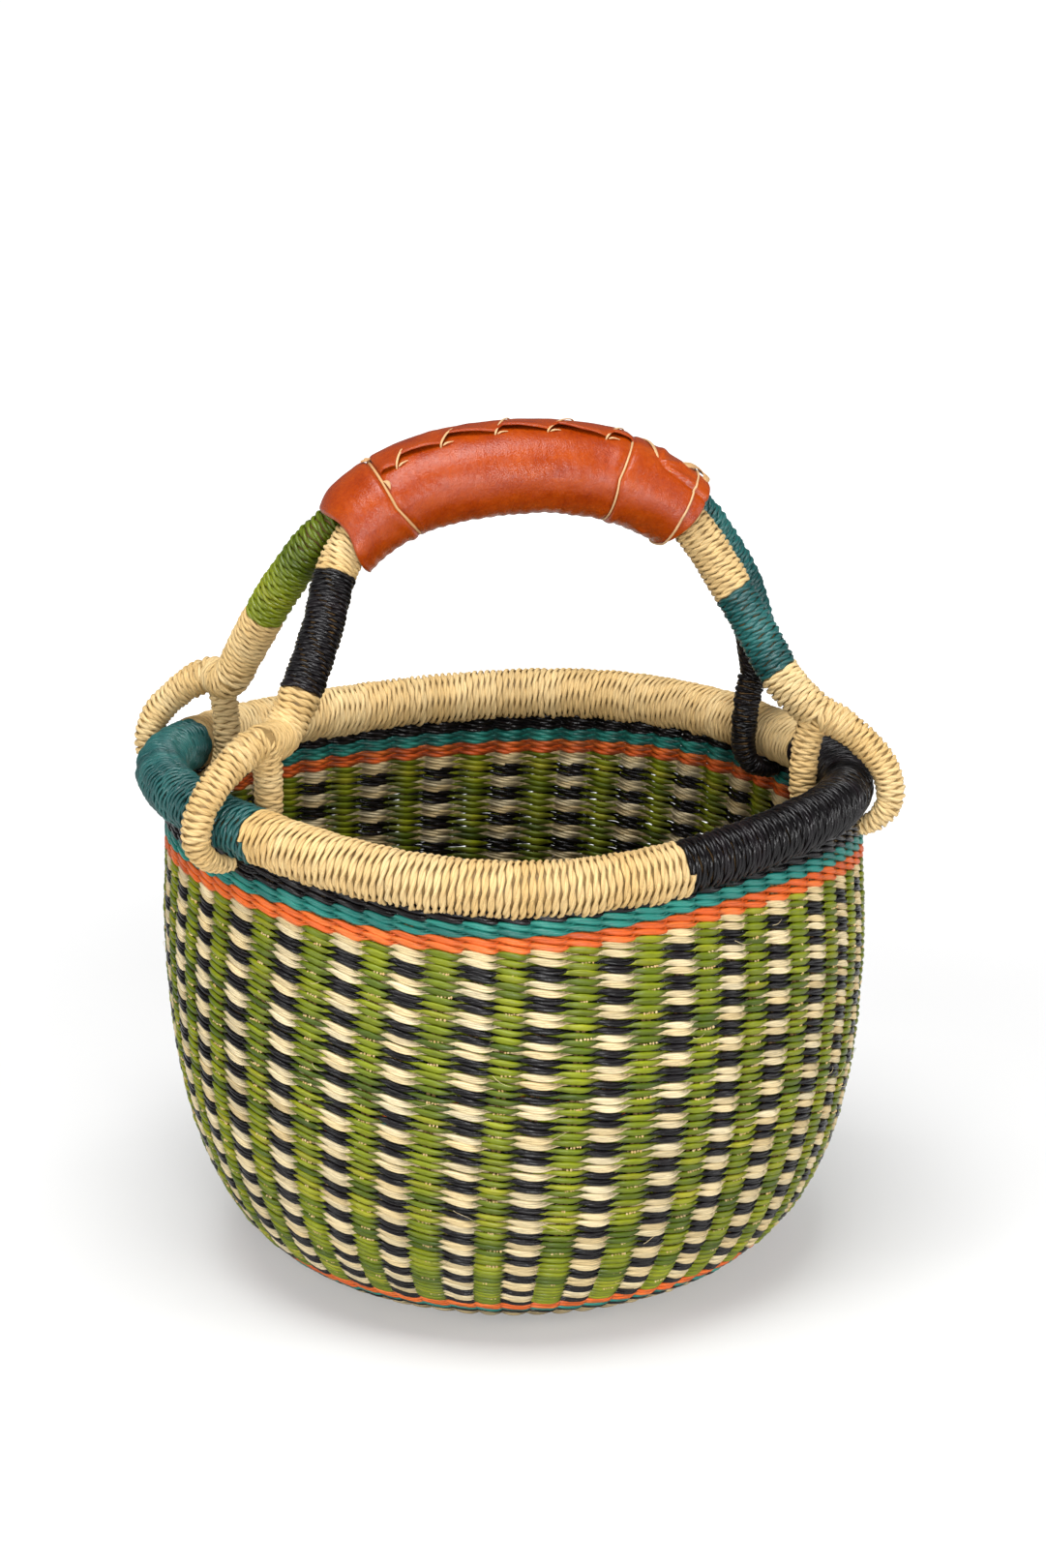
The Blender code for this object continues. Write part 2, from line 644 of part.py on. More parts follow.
def on_leather(middle, share, turn, lift):
    """A place above the leather's outside: turn 0 is its front side, a quarter turn its crest."""
    ways = tangents(middle, False)
    spot = min(int(share * (len(middle) - 1)), len(middle) - 2)
    rest = share * (len(middle) - 1) - spot
    centre = middle[spot].lerp(middle[spot + 1], rest)
    side, up = across(ways[spot].lerp(ways[spot + 1], rest).normalized(), ALONG_Y)
    wide, tall = leather_section(share)
    return centre - side * ((wide + lift) * math.cos(turn)) + up * ((tall + lift) * math.sin(turn))


def binding_thread(name, middle, place):
    """A thin thread tied round the leather, square to it."""
    share = share_at(middle, place)
    lift = SEAM_GAP + THREAD_THICKNESS / 2.0
    turns = [2.0 * math.pi * (spot + 0.5) / LEATHER_SIDES for spot in range(LEATHER_SIDES)]
    places = [on_leather(middle, share, turn, lift) for turn in turns]
    radii = [THREAD_THICKNESS / 2.0] * len(places)
    mesh = tube(name, places, radii, Vector((1.0, 0.0, 0.0)), closed=True, sides=WINDING_SIDES)
    return finish(name, mesh, NATURAL, 0.6)


def seam_thong(middle):
    """The thong that sews the leather's overlapped edge, crossing the seam at each stitch."""
    lift = SEAM_GAP + THONG_THICKNESS
    seam = math.radians(SEAM_TURN_DEGREES)
    cross = THONG_REACH / (LEATHER_WIDTH / 2.0)
    first = share_at(middle, THONG_ENDS[0])
    step = (share_at(middle, THONG_ENDS[1]) - first) / (THONG_STITCHES - 1)
    places = []
    for stitch in range(THONG_STITCHES):
        low = first + step * stitch
        places.append(on_leather(middle, low, seam - cross, lift))
        places.append(on_leather(middle, low + step * THONG_CROSSING_SHARES[0], seam + cross, lift))
        places.append(on_leather(middle, low + step * THONG_CROSSING_SHARES[1], seam, lift))
    route = smooth_route(places[:-1], THONG_STEPS * THONG_STITCHES)
    radii = [THONG_THICKNESS / 2.0] * len(route)
    mesh = tube("seam_thong", route, radii, Vector((0.0, 0.0, 1.0)), closed=False, sides=WINDING_SIDES)
    return finish("seam_thong", mesh, NATURAL, 0.6)


def main():
    clear_scene()
    twined_base()
    band("base_band_teal_black", TWINED_BASE_TOP, TEAL_BLACK_TOP, BLACK)
    band("base_band_orange", TEAL_BLACK_TOP, LOWER_ORANGE_TOP, ORANGE)
    band("checked_wall", LOWER_ORANGE_TOP, CHECK_TOP, CHECKED)
    band("top_band_orange", CHECK_TOP, ORANGE_TOP, ORANGE)
    teal = band("top_band_teal", ORANGE_TOP, TEAL_TOP, TEAL)
    black = band("top_band_black", TEAL_TOP, BOWL_HEIGHT, BLACK)
    for name in EYE_TURNS:
        guide = notch(name)
        for top_band in (teal, black):
            cut = top_band.modifiers.new(name, "BOOLEAN")
            cut.operation = "DIFFERENCE"
            cut.solver = "EXACT"
            cut.object = guide
    rim_core()
    colours = {"natural": (NATURAL, 0.55), "teal": (TEAL, 0.5), "black": (BLACK, 0.4), "green": (GREEN, 0.5)}
    for name, first, last in RIM_WRAPS:
        rim_wrap(name, first, last, *colours[name.split("_")[2]])
    front = arch_route(FRONT_ARCH_SHARES, "front_left", "front_right")
    back = arch_route(BACK_ARCH_SHARES, "back_left", "back_right")
    for side, route, ends in (("front", front, FRONT_STEM_ENDS), ("back", back, BACK_STEM_ENDS)):
        arch_core(side + "_arch_core", route, ends)
        eye(side + "_left", route, (0.0, share_at(route, ends[0])), NATURAL, 0.55)
        dark = side == "back"
        right = (1.0, share_at(route, ends[1]))
        eye(side + "_right", route, right, BLACK if dark else NATURAL, 0.4 if dark else 0.55)
        grip_bundle(side + "_grip_bundle", route)
    for route, windings in ((front, FRONT_WINDINGS), (back, BACK_WINDINGS)):
        for name, first, last in windings:
            winding(name, route, (first, last), *colours[name.split("_")[2]])
    middle = [(a + b) / 2.0 for a, b in zip(grip_part(front), grip_part(back))]
    leather_grip(middle)
    for name, place in zip(("left_thread", "right_thread"), THREAD_PLACES):
        binding_thread(name, middle, place)
    seam_thong(middle)


main()
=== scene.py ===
import math
import time

import bpy
import numpy as np
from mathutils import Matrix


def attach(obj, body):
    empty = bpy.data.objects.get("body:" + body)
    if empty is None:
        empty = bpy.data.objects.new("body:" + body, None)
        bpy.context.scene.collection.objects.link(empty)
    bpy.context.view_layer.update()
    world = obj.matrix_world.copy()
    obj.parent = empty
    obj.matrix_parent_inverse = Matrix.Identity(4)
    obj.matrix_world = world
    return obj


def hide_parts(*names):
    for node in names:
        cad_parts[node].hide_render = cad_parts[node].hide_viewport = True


started = time.time()
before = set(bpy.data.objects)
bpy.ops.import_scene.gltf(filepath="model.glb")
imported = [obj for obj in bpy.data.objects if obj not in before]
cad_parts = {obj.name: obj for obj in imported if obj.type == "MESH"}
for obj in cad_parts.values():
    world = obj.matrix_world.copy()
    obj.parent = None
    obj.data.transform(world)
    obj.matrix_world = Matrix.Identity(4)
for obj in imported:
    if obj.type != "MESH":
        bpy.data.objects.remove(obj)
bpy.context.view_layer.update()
chance = np.random.RandomState(7)
fullTurn = 2.0 * math.pi
upright = [0.0, 0.0, 1.0]
backward = [0.0, 1.0, 0.0]


def report(stage):
    print(f"basket: {stage} ({time.time() - started:.0f} s)")


# small helpers for curves and directions

def smoothStep(value):
    held = np.clip(value, 0.0, 1.0)
    return held * held * (3.0 - 2.0 * held)


def hill(off, width):
    return np.exp(-(off / width) ** 2)


def waves(shares, angle):
    return sum(a * np.cos(k * angle) + b * np.sin(k * angle) for k, a, b in shares)


def unit(vectors):
    return vectors / np.maximum(np.linalg.norm(vectors, axis=-1, keepdims=True), 1e-12)


def readAt(spots, knots, values):
    return np.stack([np.interp(spots, knots, values[:, k]) for k in range(values.shape[1])], axis=-1)


def goneAlong(points):
    return np.concatenate([[0.0], np.cumsum(np.linalg.norm(np.diff(points, axis=0), axis=1))])


def smoothRoute(points, count, closed=False):
    # even steps along a smooth line through the points
    p = np.asarray(points, float)
    n = len(p)
    i = np.arange(n if closed else n - 1)
    picks = [(i + k) % n if closed else np.clip(i + k, 0, n - 1) for k in (-1, 0, 1, 2)]
    before, start, end, after = (p[pick][:, None, :] for pick in picks)
    t = (np.arange(24) / 24.0)[None, :, None]
    fine = (start + (end - before) * t / 2.0
            + (before * 2.0 - start * 5.0 + end * 4.0 - after) * t ** 2 / 2.0
            + (start * 3.0 - before - end * 3.0 + after) * t ** 3 / 2.0).reshape(-1, p.shape[1])
    fine = np.vstack([fine, p[:1] if closed else p[-1:]])
    gone = goneAlong(fine)
    return readAt(np.linspace(0.0, gone[-1], count + 1), gone, fine)


def along(route, share):
    # places on an even route, share 0 to 1
    return readAt(np.clip(share, 0.0, 1.0) * (len(route) - 1), np.arange(len(route)), route)


def routeLength(route):
    return float(np.linalg.norm(np.diff(route, axis=0), axis=1).sum())


def directions(route, closed=False):
    if closed:
        return unit(np.roll(route, -1, axis=0) - np.roll(route, 1, axis=0))
    return unit(np.gradient(route, axis=0))


def squareTo(way, hint):
    hint = np.broadcast_to(hint, way.shape)
    side = unit(hint - way * (way * hint).sum(-1, keepdims=True))
    return side, np.cross(way, side)


def wander(count, size, reach, closed=True):
    # a gentle random line: count samples, one knot every size samples
    knots = max(3, int(round(count / size)))
    values = chance.uniform(-reach, reach, knots)
    spots = np.arange(count) * knots / count
    return np.interp(spots, np.arange(knots + 1), np.append(values, values[0] if closed else values[-1]))


# straw: strands are gathered in a skein, and a skein becomes one mesh

mostFaces = 96000


def cornerSpots(*corners):
    # the place along and the place across of each corner of a face
    return np.stack([np.stack(corner, axis=-1) for corner in corners], axis=2).reshape(-1, 4, 2)


def addStrand(skein, centre, wideWay, deepWay, halfWide, halfDeep, tone, closed=True, sides=6, lie=None):
    # this sets the painted shade: each spot is darker the nearer it lies to the crevices between strands;
    # given as a middle, and a gain outward
    n = len(centre)
    halfWide = np.broadcast_to(halfWide, n)[:, None, None]
    halfDeep = np.broadcast_to(halfDeep, n)[:, None, None]
    angle = fullTurn * (np.arange(sides) + 0.5) / sides
    # shade is painted shade, which the finish multiplies into the colour
    shade = np.ones((n, sides))
    if lie is not None:
        shade = smoothStep(lie[0][:, None] + lie[1][:, None] * np.sin(angle)[None, :])
    ring = (centre[:, None, :] + wideWay[:, None, :] * halfWide * np.cos(angle)[None, :, None]
            + deepWay[:, None, :] * halfDeep * np.sin(angle)[None, :, None])
    spans = n if closed else n - 1
    row = np.arange(spans)[:, None]
    col = np.arange(sides)[None, :]
    here, there = row * sides, (row + 1) % n * sides
    nextCol = (col + 1) % sides
    faces = np.stack([here + col, there + col, there + nextCol, here + nextCol], axis=-1)
    step = np.linalg.norm(np.roll(centre, -1, axis=0) - centre, axis=1)
    gone = np.concatenate([[0.0], np.cumsum(step)]) * 1000.0
    u0 = np.broadcast_to(gone[:spans, None], (spans, sides))
    u1 = np.broadcast_to(gone[1:spans + 1, None], (spans, sides))
    v0 = np.broadcast_to(col / sides, (spans, sides))
    v1 = v0 + 1.0 / sides
    skein.append({
        "points": ring.reshape(-1, 3), "faces": faces.reshape(-1, 4), "shade": shade.ravel(),
        "uv": cornerSpots((u0, v0), (u1, v0), (u1, v1), (u0, v1)),
        "tone": np.repeat(np.broadcast_to(tone, n), sides)})


def buildMesh(name, material, points, faces, uv, tone, shade=None):
    mesh = bpy.data.meshes.new(name)
    mesh.vertices.add(len(points))
    mesh.vertices.foreach_set("co", np.ascontiguousarray(points, np.float32).ravel())
    mesh.loops.add(len(faces) * 4)
    mesh.loops.foreach_set("vertex_index", np.ascontiguousarray(faces, np.int32).ravel())
    mesh.polygons.add(len(faces))
    mesh.polygons.foreach_set("loop_start", np.arange(len(faces), dtype=np.int32) * 4)
    mesh.polygons.foreach_set("use_smooth", np.ones(len(faces), bool))
    layer = mesh.uv_layers.new(name="strand")
    layer.uv.foreach_set("vector", np.ascontiguousarray(uv, np.float32).ravel())
    for label, values in (("tone", tone), ("shade", shade)):
        if values is not None:
            kept = mesh.attributes.new(label, "FLOAT", "POINT")
            kept.data.foreach_set("value", np.ascontiguousarray(values, np.float32))
    mesh.update(calc_edges=True)
    mesh.validate()
    mesh.materials.append(material)
    piece = bpy.data.objects.new(name, mesh)
    bpy.context.scene.collection.objects.link(piece)
    return piece


def finishPiece(piece, slot, *nodes):
    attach(piece, "root")
    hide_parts(*nodes)


def layStraw(name, skein, finish, slot, *nodes):
    # strands stay whole, and a long skein is shared out over several pieces
    batches = []
    size = mostFaces
    for strand in skein:
        size += len(strand["faces"])
        if size > mostFaces:
            batches.append([])
            size = len(strand["faces"])
        batches[-1].append(strand)
    for number, held in enumerate(batches):
        starts = np.cumsum([0] + [len(strand["points"]) for strand in held])
        joined = {key: np.concatenate([strand[key] for strand in held])
                  for key in ("points", "uv", "tone", "shade")}
        joined["faces"] = np.concatenate([strand["faces"] + start for strand, start in zip(held, starts)])
        label = name if len(batches) == 1 else f"{name}_{number + 1}"
        finishPiece(buildMesh(label, finishes[finish], **joined), slot, *nodes)


# finishes

def plug(tree, made, inputs):
    # a socket is linked, and anything else becomes the input's own value
    for name, value in inputs.items():
        if isinstance(value, bpy.types.NodeSocket):
            tree.links.new(value, made.inputs[name])
        else:
            made.inputs[name].default_value = value


def node(tree, kind, output, inputs=None, **values):
    made = tree.nodes.new("ShaderNode" + kind)
    for key, value in values.items():
        setattr(made, key, value)
    plug(tree, made, inputs or {})
    return made.outputs[output]


def remap(tree, value, low, high, start=0.0, end=1.0, **values):
    inputs = {"Value": value, "From Min": start, "From Max": end, "To Min": low, "To Max": high}
    return node(tree, "MapRange", "Result", inputs, **values)


def times(tree, first, second):
    return node(tree, "Math", 0, {0: first, 1: second}, operation="MULTIPLY")


def toneRamp(tree, value, tones, places):
    made = tree.nodes.new("ShaderNodeValToRGB")
    plug(tree, made, {"Fac": value})
    elements = made.color_ramp.elements
    for element, end in ((elements[0], 0), (elements[1], -1)):
        element.position = places[end]
        element.color = (*tones[end], 1.0)
    for place, tone in zip(places[1:-1], tones[1:-1]):
        elements.new(place).color = (*tone, 1.0)
    return made.outputs["Color"]


def newFinish(name):
    material = bpy.data.materials.new(name)
    material.use_nodes = True
    return material, material.node_tree, material.node_tree.nodes["Principled BSDF"]


def strawFinish(name, look):
    # fibres run along each strand; tone picks a colour for each length of straw; the shade attribute paints
    # shade into the colour
    material, tree, shader = newFinish(name)
    tones, rough = look["tones"], look["roughness"]
    tone = node(tree, "Attribute", "Fac", attribute_name="tone")
    paintedGapShade = node(tree, "Attribute", "Fac", attribute_name="shade")
    colour = toneRamp(tree, tone, tones, [k / (len(tones) - 1) for k in range(len(tones))])
    strand = node(tree, "UVMap", "UV", uv_map="strand")
    scale = (look["fibreLong"], look["fibreAcross"], 1.0)
    stretch = node(tree, "Mapping", "Vector", {"Vector": strand, "Scale": scale})
    shift = node(tree, "CombineXYZ", "Vector", {"Z": times(tree, tone, look["toneShift"])})
    spot = node(tree, "VectorMath", "Vector", {0: stretch, 1: shift}, operation="ADD")
    fibres = node(tree, "TexNoise", "Fac", {"Vector": spot, "Scale": 1.0, "Detail": 3.0, "Roughness": 0.6})
    place = node(tree, "TexCoord", "Object")
    stains = node(tree, "TexNoise", "Fac", {"Vector": place, "Scale": look["patchScale"], "Detail": 2.0})
    streak = remap(tree, fibres, 1.0 - look["streaks"], 1.0 + look["streaks"] * 0.6, 0.3, 0.7)
    patch = remap(tree, stains, 1.0 - look["patches"], 1.0 + look["patches"] * 0.5, 0.3, 0.7)
    # painted shade: where the shade attribute is low the colour is darkened, down to the look's floor value,
    # on top of the fibre streaks and stains
    toneAndPaintedShade = times(tree, times(tree, streak, patch), remap(tree, paintedGapShade, look["dusk"], 1.0))
    plug(tree, shader, {
        "Base Color": node(tree, "VectorMath", "Vector", {0: colour, "Scale": toneAndPaintedShade}, operation="SCALE"),
        "Normal": node(tree, "Bump", "Normal",
                       {"Strength": look["bump"], "Distance": look["bumpDeep"], "Height": fibres}),
        "Roughness": remap(tree, fibres, rough - 0.08, rough + 0.08),
        "Specular IOR Level": look["specular"]})
    return material


# one of the common values is the floor of the painted shade: the most that it darkens a colour
strawCommon = {"fibreLong": 0.16, "fibreAcross": 13.0, "toneShift": 57.0, "streaks": 0.26, "patches": 0.12,
               "patchScale": 28.0, "bump": 0.4, "bumpDeep": 0.0004, "dusk": 0.30, "specular": 0.3}
strawLooks = {
    "naturalStraw": {
        "tones": [(0.58, 0.37, 0.13), (0.77, 0.57, 0.27), (0.84, 0.67, 0.37), (0.90, 0.76, 0.48)],
        "roughness": 0.50},
    "greenStraw": {
        "tones": [(0.075, 0.120, 0.002), (0.165, 0.215, 0.003), (0.265, 0.305, 0.005), (0.42, 0.40, 0.020)],
        "roughness": 0.36, "specular": 0.36},
    "barGreenStraw": {
        "tones": [(0.060, 0.095, 0.002), (0.120, 0.165, 0.004), (0.185, 0.225, 0.006), (0.27, 0.27, 0.015)],
        "roughness": 0.32, "specular": 0.45, "streaks": 0.34},
    "blackStraw": {
        "tones": [(0.0040, 0.0034, 0.0038), (0.007, 0.0058, 0.0068), (0.014, 0.010, 0.012)],
        "roughness": 0.22, "specular": 0.32},
    "tealStraw": {
        "tones": [(0.010, 0.14, 0.12), (0.012, 0.23, 0.19), (0.030, 0.32, 0.25)],
        "roughness": 0.38, "specular": 0.5},
    "orangeStraw": {
        "tones": [(0.70, 0.10, 0.008), (0.86, 0.15, 0.016), (0.93, 0.22, 0.035)],
        "roughness": 0.42, "specular": 0.45},
    "rimTealStraw": {
        "tones": [(0.005, 0.055, 0.055), (0.010, 0.100, 0.097), (0.028, 0.165, 0.152)],
        "roughness": 0.30, "specular": 0.60, "streaks": 0.34, "bump": 0.6},
    "cordStraw": {
        "tones": [(0.50, 0.29, 0.09), (0.64, 0.42, 0.16), (0.74, 0.52, 0.235), (0.82, 0.63, 0.33)],
        "roughness": 0.50, "streaks": 0.38, "bump": 0.65, "fibreAcross": 17.0, "dusk": 0.42},
    "thongFibre": {
        "tones": [(0.46, 0.22, 0.085), (0.62, 0.36, 0.16), (0.74, 0.50, 0.27)],
        "roughness": 0.5},
    # grass core and stakes: darker than the straw, partly their own colour and partly painted shade for where
    # they show deep between strands and turns
    "grassCore": {
        "tones": [(0.10, 0.055, 0.018), (0.17, 0.100, 0.038), (0.25, 0.160, 0.070)],
        "roughness": 0.7, "specular": 0.2},
}
finishes = {name: strawFinish(name, {**strawCommon, **look}) for name, look in strawLooks.items()}
report("finishes are mixed")


# bowl and rim: their outlines

bowl = {
    "radius": 0.1338, "height": 0.1760, "wall": 0.0050, "foot": 0.0620,
    # height and radius up the outside, as shares
    "outline": (
        (0.0075, 0.570), (0.0284, 0.660), (0.0682, 0.738), (0.1250, 0.818), (0.2045, 0.886),
        (0.3125, 0.938), (0.4545, 0.975), (0.6000, 0.993), (0.7386, 1.000), (0.8523, 0.996), (1.0, 0.990)),
    "flareStarts": 0.1400, "topLength": 0.2654, "topWidth": 0.2556,
    "riseStarts": 0.0071, "riseFull": 0.0500, "rise": 0.0024,
    "riseShares": ((0.0, 0.64, 0.0), (1.0, -0.71, -0.65), (2.0, 0.02, -0.39), (3.0, -1.0, -0.25),
                   (4.0, -0.45, 0.20)),
}
rim = {
    "length": 0.2590, "width": 0.2490, "shift": -0.0036, "height": 0.1878, "thickness": 0.0204,
    "core": 0.0164, "rise": 0.0025, "droop": 0.0014,
    "riseShares": ((1.0, -1.16, -0.12), (2.0, 0.96, 0.12), (3.0, -1.0, -0.64), (4.0, -0.32, 0.0)),
    "tuckReach": 0.0095, "tuckRadius": 0.0100, "tuckFade": 0.002,
}


def rimPoint(angle):
    return np.stack([
        rim["shift"] + rim["length"] / 2.0 * np.cos(angle),
        rim["width"] / 2.0 * np.sin(angle),
        rim["height"] + rim["rise"] * waves(rim["riseShares"], angle)], axis=-1)


def rimFrame(angle):
    angle = np.asarray(angle, float)
    tangent = unit(rimPoint(angle + 0.008) - rimPoint(angle - 0.008))
    outward = unit(np.cross(tangent, upright))
    return rimPoint(angle), outward, unit(np.cross(outward, tangent))


def outlineTable():
    # the outside of the bowl from the middle of the foot up: distance, radius, height
    marks = [(bowl["foot"], 0.0)] + [(r * bowl["radius"], h * bowl["height"]) for h, r in bowl["outline"]]
    curve = smoothRoute(marks, 400)
    curve = np.vstack([[0.0, 0.0], curve, curve[-1] + [0.0, 0.02]])
    gone = np.concatenate([[0.0], np.cumsum(np.hypot(*np.diff(curve, axis=0).T))])
    return gone, curve[:, 0], curve[:, 1]


outlineGone, outlineRadius, outlineHeight = outlineTable()


def arcAt(height):
    return float(np.interp(height, outlineHeight[1:], outlineGone[1:]))


def radiusAt(arc):
    return np.interp(arc, outlineGone, outlineRadius)


def heightAt(arc):
    return np.interp(arc, outlineGone, outlineHeight)


def wallPlace(angle, arc, off):
    # off is counted outward from the middle of the wall
    near, far = arc - 0.0006, arc + 0.0006
    slopeR = radiusAt(far) - radiusAt(near)
    slopeZ = heightAt(far) - heightAt(near)
    size = np.maximum(np.hypot(slopeR, slopeZ), 1e-9)
    depth = bowl["wall"] / 2.0 - off
    radius = radiusAt(arc) - depth * slopeZ / size
    level = heightAt(arc) + depth * slopeR / size
    drawn = smoothStep((level - bowl["flareStarts"]) / (bowl["height"] - bowl["flareStarts"]))
    long = radius + (bowl["topLength"] / 2.0 - depth - radius) * drawn
    wide = radius + (bowl["topWidth"] / 2.0 - depth - radius) * drawn
    rising = smoothStep((level - bowl["riseStarts"]) / (bowl["riseFull"] - bowl["riseStarts"]))
    level = level + rising * bowl["rise"] * waves(bowl["riseShares"], angle)
    return np.stack([long * np.cos(angle), wide * np.sin(angle), level], axis=-1)


def tuckUnderRim(place, tuck):
    # rows that meet the rim are pressed together under it
    centre, outward, _ = rimFrame(np.arctan2(place[:, 1], place[:, 0]))
    off = np.clip(((place - centre) * outward).sum(-1), -rim["tuckReach"], rim["tuckReach"])
    under = centre[:, 2] - np.sqrt(rim["tuckRadius"] ** 2 - off ** 2) + tuck
    over = place[:, 2] - under
    fade = rim["tuckFade"]
    pressed = under - fade * np.exp(-np.maximum(over + fade, 0.0) / fade)
    place = place.copy()
    place[:, 2] = np.where(over > -fade, pressed, place[:, 2])
    return place


# weave: the ribs and the rows of twining

weave = {
    "ribs": 66, "firstCheck": 261.7, "ribWander": 0.55,
    "ribShares": ((1.0, -2.90, 0.95), (2.0, 0.13, -1.21), (3.0, 0.05, 0.83)),
    # how far ribs lean by the rim: all, the swing, and the side it is greatest
    "lean": (0.5, 3.4, 215.0), "leanFrom": 0.100, "leanOver": 0.080,
    "rows": 56, "rowsTop": 0.1608, "pitch": (0.0025008, 0.00002059, -0.00000030070),
    "tip": 108.0, "thick": 0.00092, "shear": 15.0, "dark": 0.0015,
    # how uneven the hand is
    "rowWander": 0.00022, "lift": 0.00014, "push": (-0.00020, 0.00026), "grow": (0.88, 1.12),
    "drift": 0.00010, "flecks": 0.09,
    # the coloured bands above and below the checks, and the base
    "bandRise": (0.00130, 0.00390, 0.00650, 0.00905), "blackRise": 0.01150, "blackPitch": 0.0025,
    "lowGap": 0.0012,
    "lowDrop": (("orange", 0.0014), ("orange", 0.0042), ("teal", 0.0068), ("black", 0.0092)),
    "baseDrop": 0.0118, "basePitch": 0.00265, "middle": 0.0048,
}
rowKinds = {
    "wall": {"ribs": 66, "steps": 8, "reach": 0.00156, "twist": 0.00074, "slim": 0.32, "tilt": 18.0,
             "proud": 0.00076, "sides": (8, 6, 5), "tuck": None},
    "topBand": {"twist": 0.00072, "slim": 0.36, "proud": 0.00100, "tuck": 0.0012},
    "lowBand": {"twist": 0.00072, "slim": 0.36, "proud": 0.00100},
    "base": {"steps": 6, "reach": 0.00128, "tilt": 4.0, "proud": 0.0004, "sides": (6,)},
}
# straws side by side in a strand, half height, spread, tone and its spread
strandKinds = {
    "natural": (3, 0.00066, 0.00098, 0.70, 0.25), "black": (2, 0.00088, 0.00078, 0.5, 0.25),
    "topBand": (2, 0.00098, 0.00056, 0.5, 0.35), "lowBand": (2, 0.00080, 0.00056, 0.5, 0.35),
    "base": (1, 0.00145, 0.0, 0.6, 0.25),
}
ribJitter = chance.uniform(-weave["ribWander"], weave["ribWander"], weave["ribs"])


def ribAngle(turn, height):
    plain = weave["firstCheck"] + turn * 360.0 / weave["ribs"]
    angle = np.radians(plain)
    level, swing, toward = weave["lean"]
    rise = (height - weave["leanFrom"]) / weave["leanOver"]
    lean = rise * (level + swing * np.cos(angle - math.radians(toward)))
    knots = np.arange(weave["ribs"] + 1)
    jitter = np.interp(turn % weave["ribs"], knots, np.append(ribJitter, ribJitter[0]))
    return np.radians(plain + waves(weave["ribShares"], angle) + lean + jitter)


def strawTones(ribs, middle, spread):
    # each straw lasts a few ribs before the next one is joined in
    tones = np.zeros(ribs)
    spot = 0
    while spot < ribs:
        run = int(chance.randint(5, 15))
        tones[spot:spot + run] = middle + chance.uniform(-spread, spread)
        spot += run
    return np.clip(tones + chance.uniform(-weave["flecks"], weave["flecks"], ribs), 0.0, 1.0)


def twineRow(skeins, arc, strands, kind="wall", **changes):
    # strands: colour, the ribs it covers outside (0 even, 1 odd), then as in strandKinds
    row = {**rowKinds["wall"], **rowKinds[kind], **changes}
    ribs, slim, tip = row["ribs"], row["slim"], weave["tip"]
    turn = np.arange(ribs * row["steps"]) / row["steps"]
    angle = ribAngle(turn * (weave["ribs"] / ribs), float(heightAt(arc)))
    rowWander = wander(len(turn), row["steps"] * 4, weave["rowWander"])
    floatNumber = (np.floor(turn + 0.5 + 1e-6) % ribs).astype(int)
    for colour, parity, filaments, tall, spread, middle, vary in strands:
        lift = chance.uniform(-weave["lift"], weave["lift"], ribs)[floatNumber]
        push = chance.uniform(*weave["push"], ribs)[floatNumber]
        grow = chance.uniform(*weave["grow"], ribs)[floatNumber]
        tones = strawTones(ribs, middle, vary)[floatNumber]
        for filament in range(filaments):
            # the upper filament of a float starts and ends first, so that the float leans
            aside = 0.0 if filaments == 1 else (filament / (filaments - 1) * 2.0 - 1.0)
            phase = math.pi * (turn + parity) + aside * math.radians(weave["shear"])
            front = np.cos(phase)
            # a float is leaf shaped, and its tips run on a little past its ribs
            swing = np.degrees(np.abs((phase + math.pi) % fullTurn - math.pi))
            lens = np.where(swing < tip, swing * 90.0 / tip, 90.0 + (swing - tip) * 90.0 / (180.0 - tip))
            fade = np.abs(np.cos(np.radians(lens))) ** 1.05
            hidden = smoothStep((-front - 0.15) / 0.35)
            full = (slim + (1.0 - slim) * fade) * (1.0 - hidden) + (0.62 + 0.38 * fade ** 0.6) * hidden
            off = front * (row["reach"] + push) + row["proud"] * (1.0 - np.abs(front)) ** 0.6
            tilt = (math.radians(row["tilt"]) * np.tanh(3.0 * front))[:, None]
            drift = chance.uniform(-weave["drift"], weave["drift"], ribs)[floatNumber]
            height = (arc + rowWander - np.sin(phase) * row["twist"] + lift * fade
                      + (aside * spread + drift) * full)
            place = wallPlace(angle, height, off)
            up = unit(wallPlace(angle, height + 0.0005, off) - place)
            if row["tuck"] is not None:
                place = tuckUnderRim(place, row["tuck"])
            up, inward = squareTo(directions(place, closed=True), up)
            outward = -inward
            wideWay = up * np.cos(tilt) - outward * np.sin(tilt)
            deepWay = outward * np.cos(tilt) + up * np.sin(tilt)
            halfDeep = weave["thick"] * (0.86 + 0.14 * fade) * (1.0 if filaments == 1 else 0.88)
            tone = np.clip(tones + chance.uniform(-0.06, 0.06), 0.0, 1.0)
            # painted shade: a strand is darker toward the middle of the wall, where the strands cross, and
            # lighter on the face that stands out
            lie = ((np.abs(off) + 0.00010) / weave["dark"], np.sign(front) * halfDeep / weave["dark"])
            addStrand(skeins[colour], place, wideWay, deepWay, tall * grow * full, halfDeep, tone,
                      sides=row["sides"][filaments - 1], lie=lie)


def pairRow(skeins, arc, colour, kind, **changes):
    # two strands of one colour, each in front of every other rib
    twineRow(skeins, arc, [(colour, parity, *strandKinds[kind]) for parity in (1, 0)], kind, **changes)


def rowArcs():
    first, second, third = weave["pitch"]
    k = np.arange(weave["rows"]) + 0.5
    return arcAt(weave["rowsTop"]) - (first * k + second * k ** 2 + third * k ** 3)


